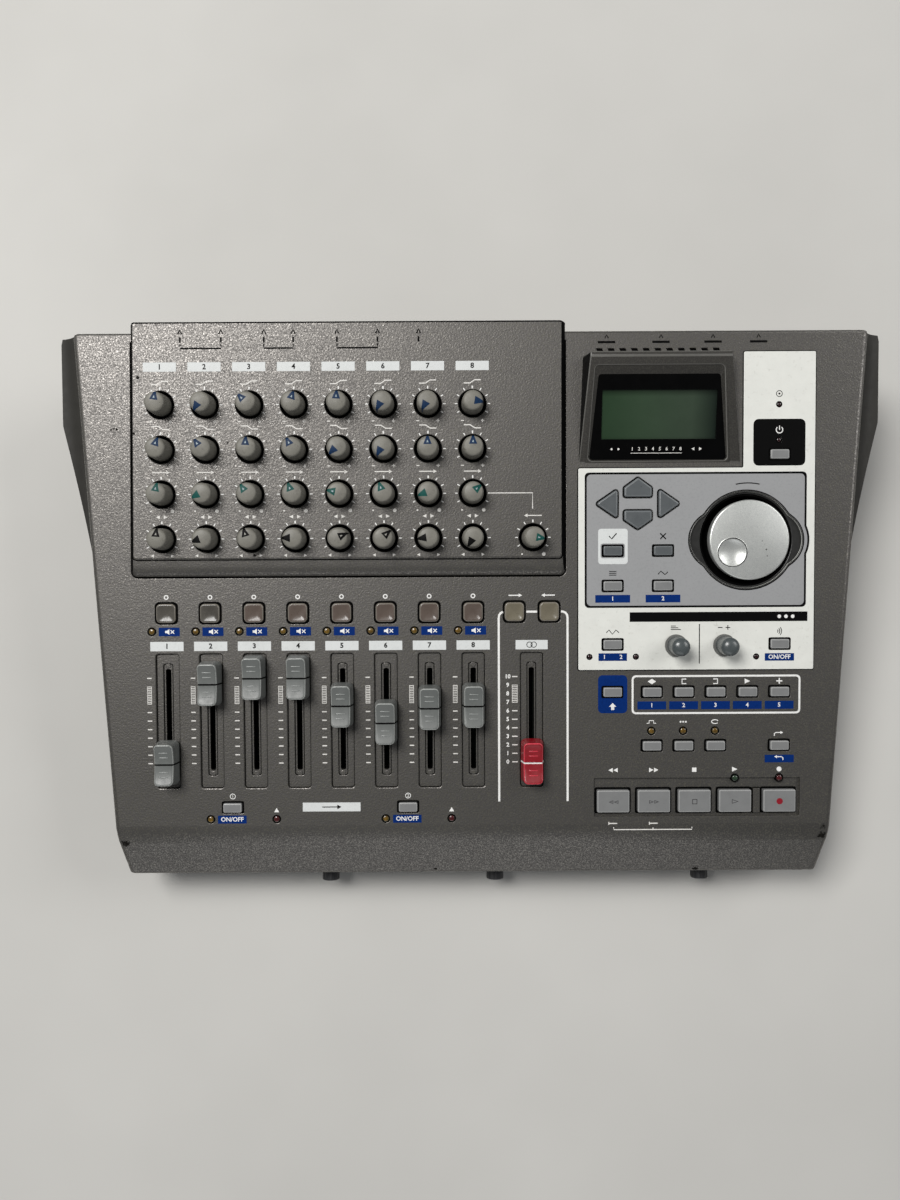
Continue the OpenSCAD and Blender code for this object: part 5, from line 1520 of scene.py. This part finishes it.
# symbols over the transport keys
yt = 33.5
for dx in (-1.3, 1.3):
    thin([[(2 * 73.9 - a, b) for a, b in tri(73.9 + dx, yt, 2.3, 2.4)]], 0, P_WHITE, pr)
    thin([tri(95.3 + dx, yt, 2.3, 2.4)], 0, P_WHITE, pr)
thin([rrect(116.6, yt, 2.3, 2.3)], 0, P_WHITE, pr)
thin([tri(137.9, yt + 0.2, 2.8, 2.6)], 0, P_WHITE, pr)
thin([circle(161.2, yt + 0.2, 1.3, 28)], 0, P_WHITE, pr)
path([(74.3, 3.2), (74.3, 1.9), (115.5, 1.9), (115.5, 3.2)], 0.55, P_TICK)
line(95.0, 1.9, 95.0, 2.9, 0.5, P_TICK, 0, 0.045)
for x in (73.9, 95.3):
    line(x - 2.2, 5.2, x + 2.2, 5.2, 0.6, P_TICK)
    line(x - 2.2, 4.4, x - 2.2, 6.0, 0.5, P_TICK, 0, 0.045)
piece("printed_marks", Mesh().add((pr.v, pr.f, pr.s, pr.m), 0, PANEL), INKS, "case", ())

# ---------------------------------------------------------------- lower case with side wings
def top_z(y):
    return CZ - 16 * cos(SLOPE) + (y - CY - 16 * sin(SLOPE)) * tan(SLOPE) - 0.15


tray_v, tray_f = [], [(0, 1, 2, 3), (7, 6, 5, 4), (0, 4, 5, 1), (1, 5, 6, 2), (2, 6, 7, 3), (3, 7, 4, 0)]
corners = [(-204.4, REAR_Y), (204.4, REAR_Y), (185.4, FRONT_Y), (-185.4, FRONT_Y)]
tray_v = [(x, y, 5.0) for x, y in corners] + [(x, y, top_z(y)) for x, y in corners]


def tray_round(a, b):
    if abs(a.z - 5) < 0.01 and abs(b.z - 5) < 0.01:
        return 2.0
    if abs(a.z - b.z) > 3 and abs(a.x - b.x) < 0.01:
        return 3.0
    return 0.0


inner = [(-201.4, REAR_Y - 3), (201.4, REAR_Y - 3), (182.6, FRONT_Y + 3), (-182.6, FRONT_Y + 3)]


def bore(x, z, r, y0, y1, n=40):
    return slab([(x + r * cos(2 * pi * k / n), z + r * sin(2 * pi * k / n)) for k in range(n)], y0, y1, "y")


cuts = [slab(inner, 8.0, 120)]
PHONE_X, PHONO_X, FRONT_JACK_X, FRONT_KNOB_X = [-149, -128, -68.6, -47.8, -26.8], [-106, -91], [-101, -10, 150], [-78.4, 12.8, 126.4]
cuts += [bore(x, JACK_Z, 5.3, REAR_Y - 6, REAR_Y + 4) for x in PHONE_X] + [bore(x, JACK_Z, 4.6, REAR_Y - 6, REAR_Y + 4) for x in PHONO_X]
cuts += [bore(98.5, JACK_Z, 8, REAR_Y - 6, REAR_Y + 4), bore(125.4, JACK_Z, 5, REAR_Y - 6, REAR_Y + 4)]
cuts += [slab(span(70.3 - 5.2, 70.3 + 5.2, JACK_Z - 5.2, JACK_Z + 5.2), REAR_Y - 6, REAR_Y + 4, "y"), slab(span(149 - 6.7, 149 + 6.7, JACK_Z - 9.7, JACK_Z + 9.7), REAR_Y - 6, REAR_Y + 4, "y")]
cuts += [bore(x, FRONT_Z, 5.3, FRONT_Y - 4, FRONT_Y + 6) for x in FRONT_JACK_X] + [bore(x, FRONT_Z, 3.9, FRONT_Y - 4, FRONT_Y + 6) for x in FRONT_KNOB_X]
SCREWS = [(-177, 12), (177, 12), (-184, 122), (184, 122), (-191, 238), (191, 238)]
cuts += [slab(circle(x, CY + y, 3.3, 28), 0, 11) for x, y in SCREWS]
tray = solid(tray_v, tray_f, tray_round, 4, cuts)


def wing(s):
    """hollowed side wing, as a loft along the case side"""
    n_v, prof_n = 34, 13
    grid = []
    for i in range(n_v + 1):
        v = 131.5 + (263.2 - 131.5) * i / n_v
        edge = half_at(v)
        if v < 217.0:
            outer = half_at(135) + 0.4 + (217.3 - half_at(135) - 0.4) * (v - 135) / (217.0 - 135)
        else:
            outer = 217.3 if v < 262.5 else 216.6
        outer = max(edge + 0.3, outer)
        full = outer - edge - 0.2
        row = []
        for k in range(prof_n):
            d = full * k / (prof_n - 1)
            q = d / 12.0
            w = -7.0 - 6.0 * (1 - (1 - min(1, q)) ** 2.2)
            row.append((s * (edge + 0.2 + d), v, w))
        r = 1.2
        lastu = s * (edge + 0.2 + full)
        row.append((lastu, v, row[-1][2] - r))
        row.append((lastu - s * min(full * 0.5, 2.0), v, -26.5 if full > 2 else -17))
        row.append((s * (edge - 1.6), v, -33))
        row.append((s * (edge - 1.6), v, -16.4))
        row.append((s * (edge + 0.2), v, -16.2))
        if i == n_v:
            row = [(x, y + (w + 7) * tan(SLOPE), w) for x, y, w in row]
        grid.append(row)
    m = len(grid[0])
    v = [p for row in grid for p in row]
    f, sm = [], []
    for i in range(n_v):
        for k in range(m):
            a, b = i * m + k, i * m + (k + 1) % m
            f.append((a, b, b + m, a + m) if s < 0 else (a + m, b + m, b, a))
            sm.append(True)
    f.append(tuple(range(m)) if s > 0 else tuple(range(m))[::-1])
    f.append(tuple(n_v * m + k for k in range(m))[::-1] if s > 0 else tuple(n_v * m + k for k in range(m)))
    sm += [False, False]
    return v, f, sm


low = Mesh().add(tray, 0, WORLD)
for s in (-1, 1):
    low.add(wing(s), 1, PANEL)
piece("case_bottom", low, [M_TRAY, M_DARK], "case", ["bottom_case"], 32)

# ---------------------------------------------------------------- sockets
def facing(x, y, z, back):
    """frame of a socket: its z points out of the panel"""
    return WORLD @ Matrix.Translation((x, y, z)) @ (Matrix.Rotation(radians(-90), 4, "X") if back else Matrix.Rotation(radians(90), 4, "X"))


sk = Mesh()
S_BLACK, S_STEEL, S_VOID, S_WHITE, S_RED, S_GOLD = range(6)


def phone(place):
    hexa = [(6.9 * cos(radians(60 * k)), 6.9 * sin(radians(60 * k))) for k in range(6)]
    sk.add(prism([(hexa, 0.35), (circle(0, 0, 5.0, 48), 0.1)], 0.02, 1.6, 0.3, 2), S_STEEL, place)
    thread = [(4.6, -4.0), (4.6, 0.0)]
    z = 0.0
    while z < 1.9:
        thread += [(4.95, z + 0.12), (4.6, z + 0.35)]
        z += 0.4
    sk.add(lathe([(3.2, 2.0), (3.2, -22)][::-1] + [(3.3, 2.05), (4.5, 2.05)] + [(r, w) for r, w in thread[::-1]] + [(3.2, -4.0)], 48), S_STEEL, place)
    sk.add(prism([rrect(0, 0, 16, 15, 0.5), circle(0, 0, 3.25, 40)], -25.8, -3.3, 0.3, 2), S_BLACK, place)
    sk.add(lathe([(0, -22.5), (3.19, -22.5), (3.19, -22.0), (0, -22.0)], 32), S_VOID, place)


for x in PHONE_X:
    phone(facing(x, REAR_Y, JACK_Z, True))
for x in FRONT_JACK_X:
    phone(facing(x, FRONT_Y, FRONT_Z, False))
for k, x in enumerate(PHONO_X):
    p = facing(x, REAR_Y, JACK_Z, True)
    sk.add(prism([(circle(0, 0, 4.5, 48), 0.2), (circle(0, 0, 4.2, 48), 0.0)], -3.0, 0.8, 0.2, 2), S_WHITE + k, p)
    sk.add(lathe([(1.6, -7), (1.6, 5.6), (1.9, 5.9), (3.9, 5.95), (4.15, 5.7), (4.15, -4.0), (1.6, -7)], 48), S_STEEL, p)
    sk.add(lathe([(0, 4.6), (1.6, 4.6), (1.6, 5.0), (0, 5.0)], 32), S_BLACK, p)
    sk.add(prism([rrect(0, 0, 12, 13, 0.4)], -15.2, -7.1, 0.3, 2), S_BLACK, p)
p = facing(98.5, REAR_Y, JACK_Z, True)
sk.add(prism([(circle(0, 0, 7.7, 64), 0.3), (circle(0, 0, 6.7, 64), 0.2)], -9.4, 0.6, 0.3, 2), S_BLACK, p)
sk.add(prism([(circle(0, 0, 6.65, 64), 0.0), (circle(0, 0, 6.2, 64), 0.1)], -9.4, -0.6, 0.1, 1), S_STEEL, p)
sk.add(prism([circle(0, 0, 6.15, 64)] + [circle(4.4 * sin(radians(a)), -4.4 * cos(radians(a)) + 0.6, 0.75, 16) for a in range(-90, 91, 45)], -9.4, -5.0, 0.2, 2), S_BLACK, p)
sk.add(prism([rrect(0, 0, 20, 19, 0.5)], -18.2, -9.5, 0.3, 2), S_BLACK, p)
p = facing(125.4, REAR_Y, JACK_Z, True)
sk.add(prism([(circle(0, 0, 4.7, 48), 0.3), (circle(0, 0, 3.1, 48), 0.3)], -10.0, 0.4, 0.3, 2), S_BLACK, p)
sk.add(lathe([(0, -10), (0.9, -10), (0.9, -4.6), (0.6, -4.15), (0, -4.1)], 24), S_STEEL, p)
sk.add(prism([rrect(0, 0, 11, 11, 0.5)], -15.2, -10.1, 0.3, 2), S_BLACK, p)
p = facing(70.3, REAR_Y, JACK_Z, True)
sk.add(prism([(rrect(0, 0, 9.8, 9.8, 0.5), 0.3), (soften([(-3, -3), (3, -3), (3, 1.8), (1.8, 3), (-1.8, 3), (-3, 1.8)], 0.3, 2), 0.3)], -9.0, 0.4, 0.3, 2), S_BLACK, p)
sk.add(prism([(rrect(0, 0, 5.8, 5.8, 0.3), 0.2)], -9.0, -2.6, 0.2, 2), S_VOID, p)
sk.add(prism([rrect(0, 0, 13, 12, 0.5)], -16.2, -9.1, 0.3, 2), S_BLACK, p)
p = facing(149, REAR_Y, JACK_Z, True)
sk.add(prism([(rrect(0, 0, 12.8, 18.8, 0.6), 0.35), (rrect(0, 0, 10, 15.6, 0.3), 0.25)], -4.0, 1.0, 0.3, 2), S_BLACK, p)
rocker = [(-7.5, -2.8), (7.5, -2.8), (7.5, 1.9), (6.5, 2.1), (3, 0.9), (0, 0.45), (-3, 0.15), (-7.5, -0.2)]
rk = slab(rocker, -4.7, 4.7, "x")
rk = solid([(c, a, b) for c, a, b in rk[0]], rk[1], lambda a, b: 0.35, 2)
sk.add(rk, S_BLACK, p)
sk.add(prism([rrect(0, 4.6, 0.55, 2.6)], 0.0, 1.62, 0.0, 1), S_WHITE, p)
sk.add(prism([rrect(0, 0, 14.8, 20.8, 0.5)], -18.2, -4.1, 0.3, 2), S_BLACK, p)
piece("socket_set", sk, [M_BLACK, M_STEEL, M_VOID, M_RINGWHITE, M_RINGRED, M_GOLD], "case", ["io_sockets"], 32)

# front level knobs
for name, x in (("front_level_a", FRONT_KNOB_X[0]), ("front_level_b", FRONT_KNOB_X[1]), ("front_level_phones", FRONT_KNOB_X[2])):
    g = Mesh()
    flutes = []
    for k in range(72):
        a = 2 * pi * k / 72
        flutes.append(((4.62 + 0.07 * cos(a * 18)) * cos(a), (4.62 + 0.07 * cos(a * 18)) * sin(a)))
    g.add(prism([(flutes, 0.6)], 0.6, 12.2, 0.6, 4, 0.3), 0)
    g.add(prism([span(-0.3, 0.3, 1.6, 3.9)], 12.19, 12.26, 0.0, 1), 1)
    g.add(lathe([(0, -11), (3.0, -11), (3.0, 0.5), (0, 0.5)], 32, (0, 2)), 2)
    piece(name + "_cap", Mesh().add((g.v, g.f, g.s, g.m), 0, facing(x, FRONT_Y, FRONT_Z, False)), [M_LEVEL, M_WHITEINK, M_STEEL], name, [name], 35)

# ---------------------------------------------------------------- nodes kept from the frame
for node, mat in (("circuit_boards", M_BOARD), ("rubber_feet", M_RUBBER), ("case_screws", M_ZINC)):
    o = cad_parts[node]
    o.data.materials.clear()
    o.data.materials.append(mat)

for name in ("temp_flat", "temp_round"):
    if bpy.data.materials.get(name):
        bpy.data.materials.remove(bpy.data.materials[name])

# ---------------------------------------------------------------- floor, light, camera
fm = Mat("floor", rough=0.75, specular=0.2)
floor_col = fm.ramp(fm.noise(3.0, 4, 0.6), [(0.3, rgb(191, 190, 186)), (0.7, rgb(201, 200, 196))])
floor_mat = fm.done(floor_col, fm.span(fm.noise(40, 3), 0.7, 0.85), fm.bump(fm.noise(60, 4), 0.0004, 0.25))
fme = bpy.data.meshes.new("floor")
fme.from_pydata([(-6, -6, 0), (6, -6, 0), (6, 6, 0), (-6, 6, 0)], [], [(0, 1, 2, 3)])
fme.materials.append(floor_mat)
floor = bpy.data.objects.new("floor", fme)
bpy.context.scene.collection.objects.link(floor)


def area_light(name, loc, target, size, power, colour=(1, 1, 1)):
    l = bpy.data.lights.new(name, "AREA")
    l.shape, l.size, l.size_y, l.energy, l.color = "RECTANGLE", size[0], size[1], power, colour
    o = bpy.data.objects.new(name, l)
    o.location = loc
    o.rotation_mode = "QUATERNION"
    o.rotation_quaternion = (Vector(target) - Vector(loc)).to_track_quat("-Z", "Y")
    bpy.context.scene.collection.objects.link(o)
    return o


area_light("key", (-0.80, 0.645, 1.75), (0, 0.02, 0.05), (0.85, 0.85), 37, (1.0, 0.985, 0.965))
area_light("fill", (-0.15, -2.1, 0.85), (0, 0, 0.05), (2.2, 1.0), 8.0, (0.98, 0.985, 1.0))
area_light("rear", (1.5, 0.62, 1.25), (0.1, 0.05, 0.05), (1.1, 0.8), 12.5, (1.0, 0.99, 0.98))
world = bpy.data.worlds.new("studio")
world.use_nodes = True
world.node_tree.nodes["Background"].inputs["Color"].default_value = (0.92, 0.95, 1.0, 1.0)
world.node_tree.nodes["Background"].inputs["Strength"].default_value = 0.12
bpy.context.scene.world = world
bpy.context.scene.view_settings.view_transform = "Standard"

cam = bpy.data.cameras.new("camera")
cam.lens, cam.sensor_width, cam.sensor_fit = 27.03, 36.0, "AUTO"
cam.clip_start, cam.clip_end = 0.01, 50
co = bpy.data.objects.new("camera", cam)
co.matrix_world = Matrix.Translation((-0.0114, -0.0380, 0.5291)) @ Matrix.Rotation(radians(5), 4, "X") @ Matrix.Rotation(radians(-0.3), 4, "Z")
bpy.context.scene.collection.objects.link(co)
bpy.context.scene.camera = co
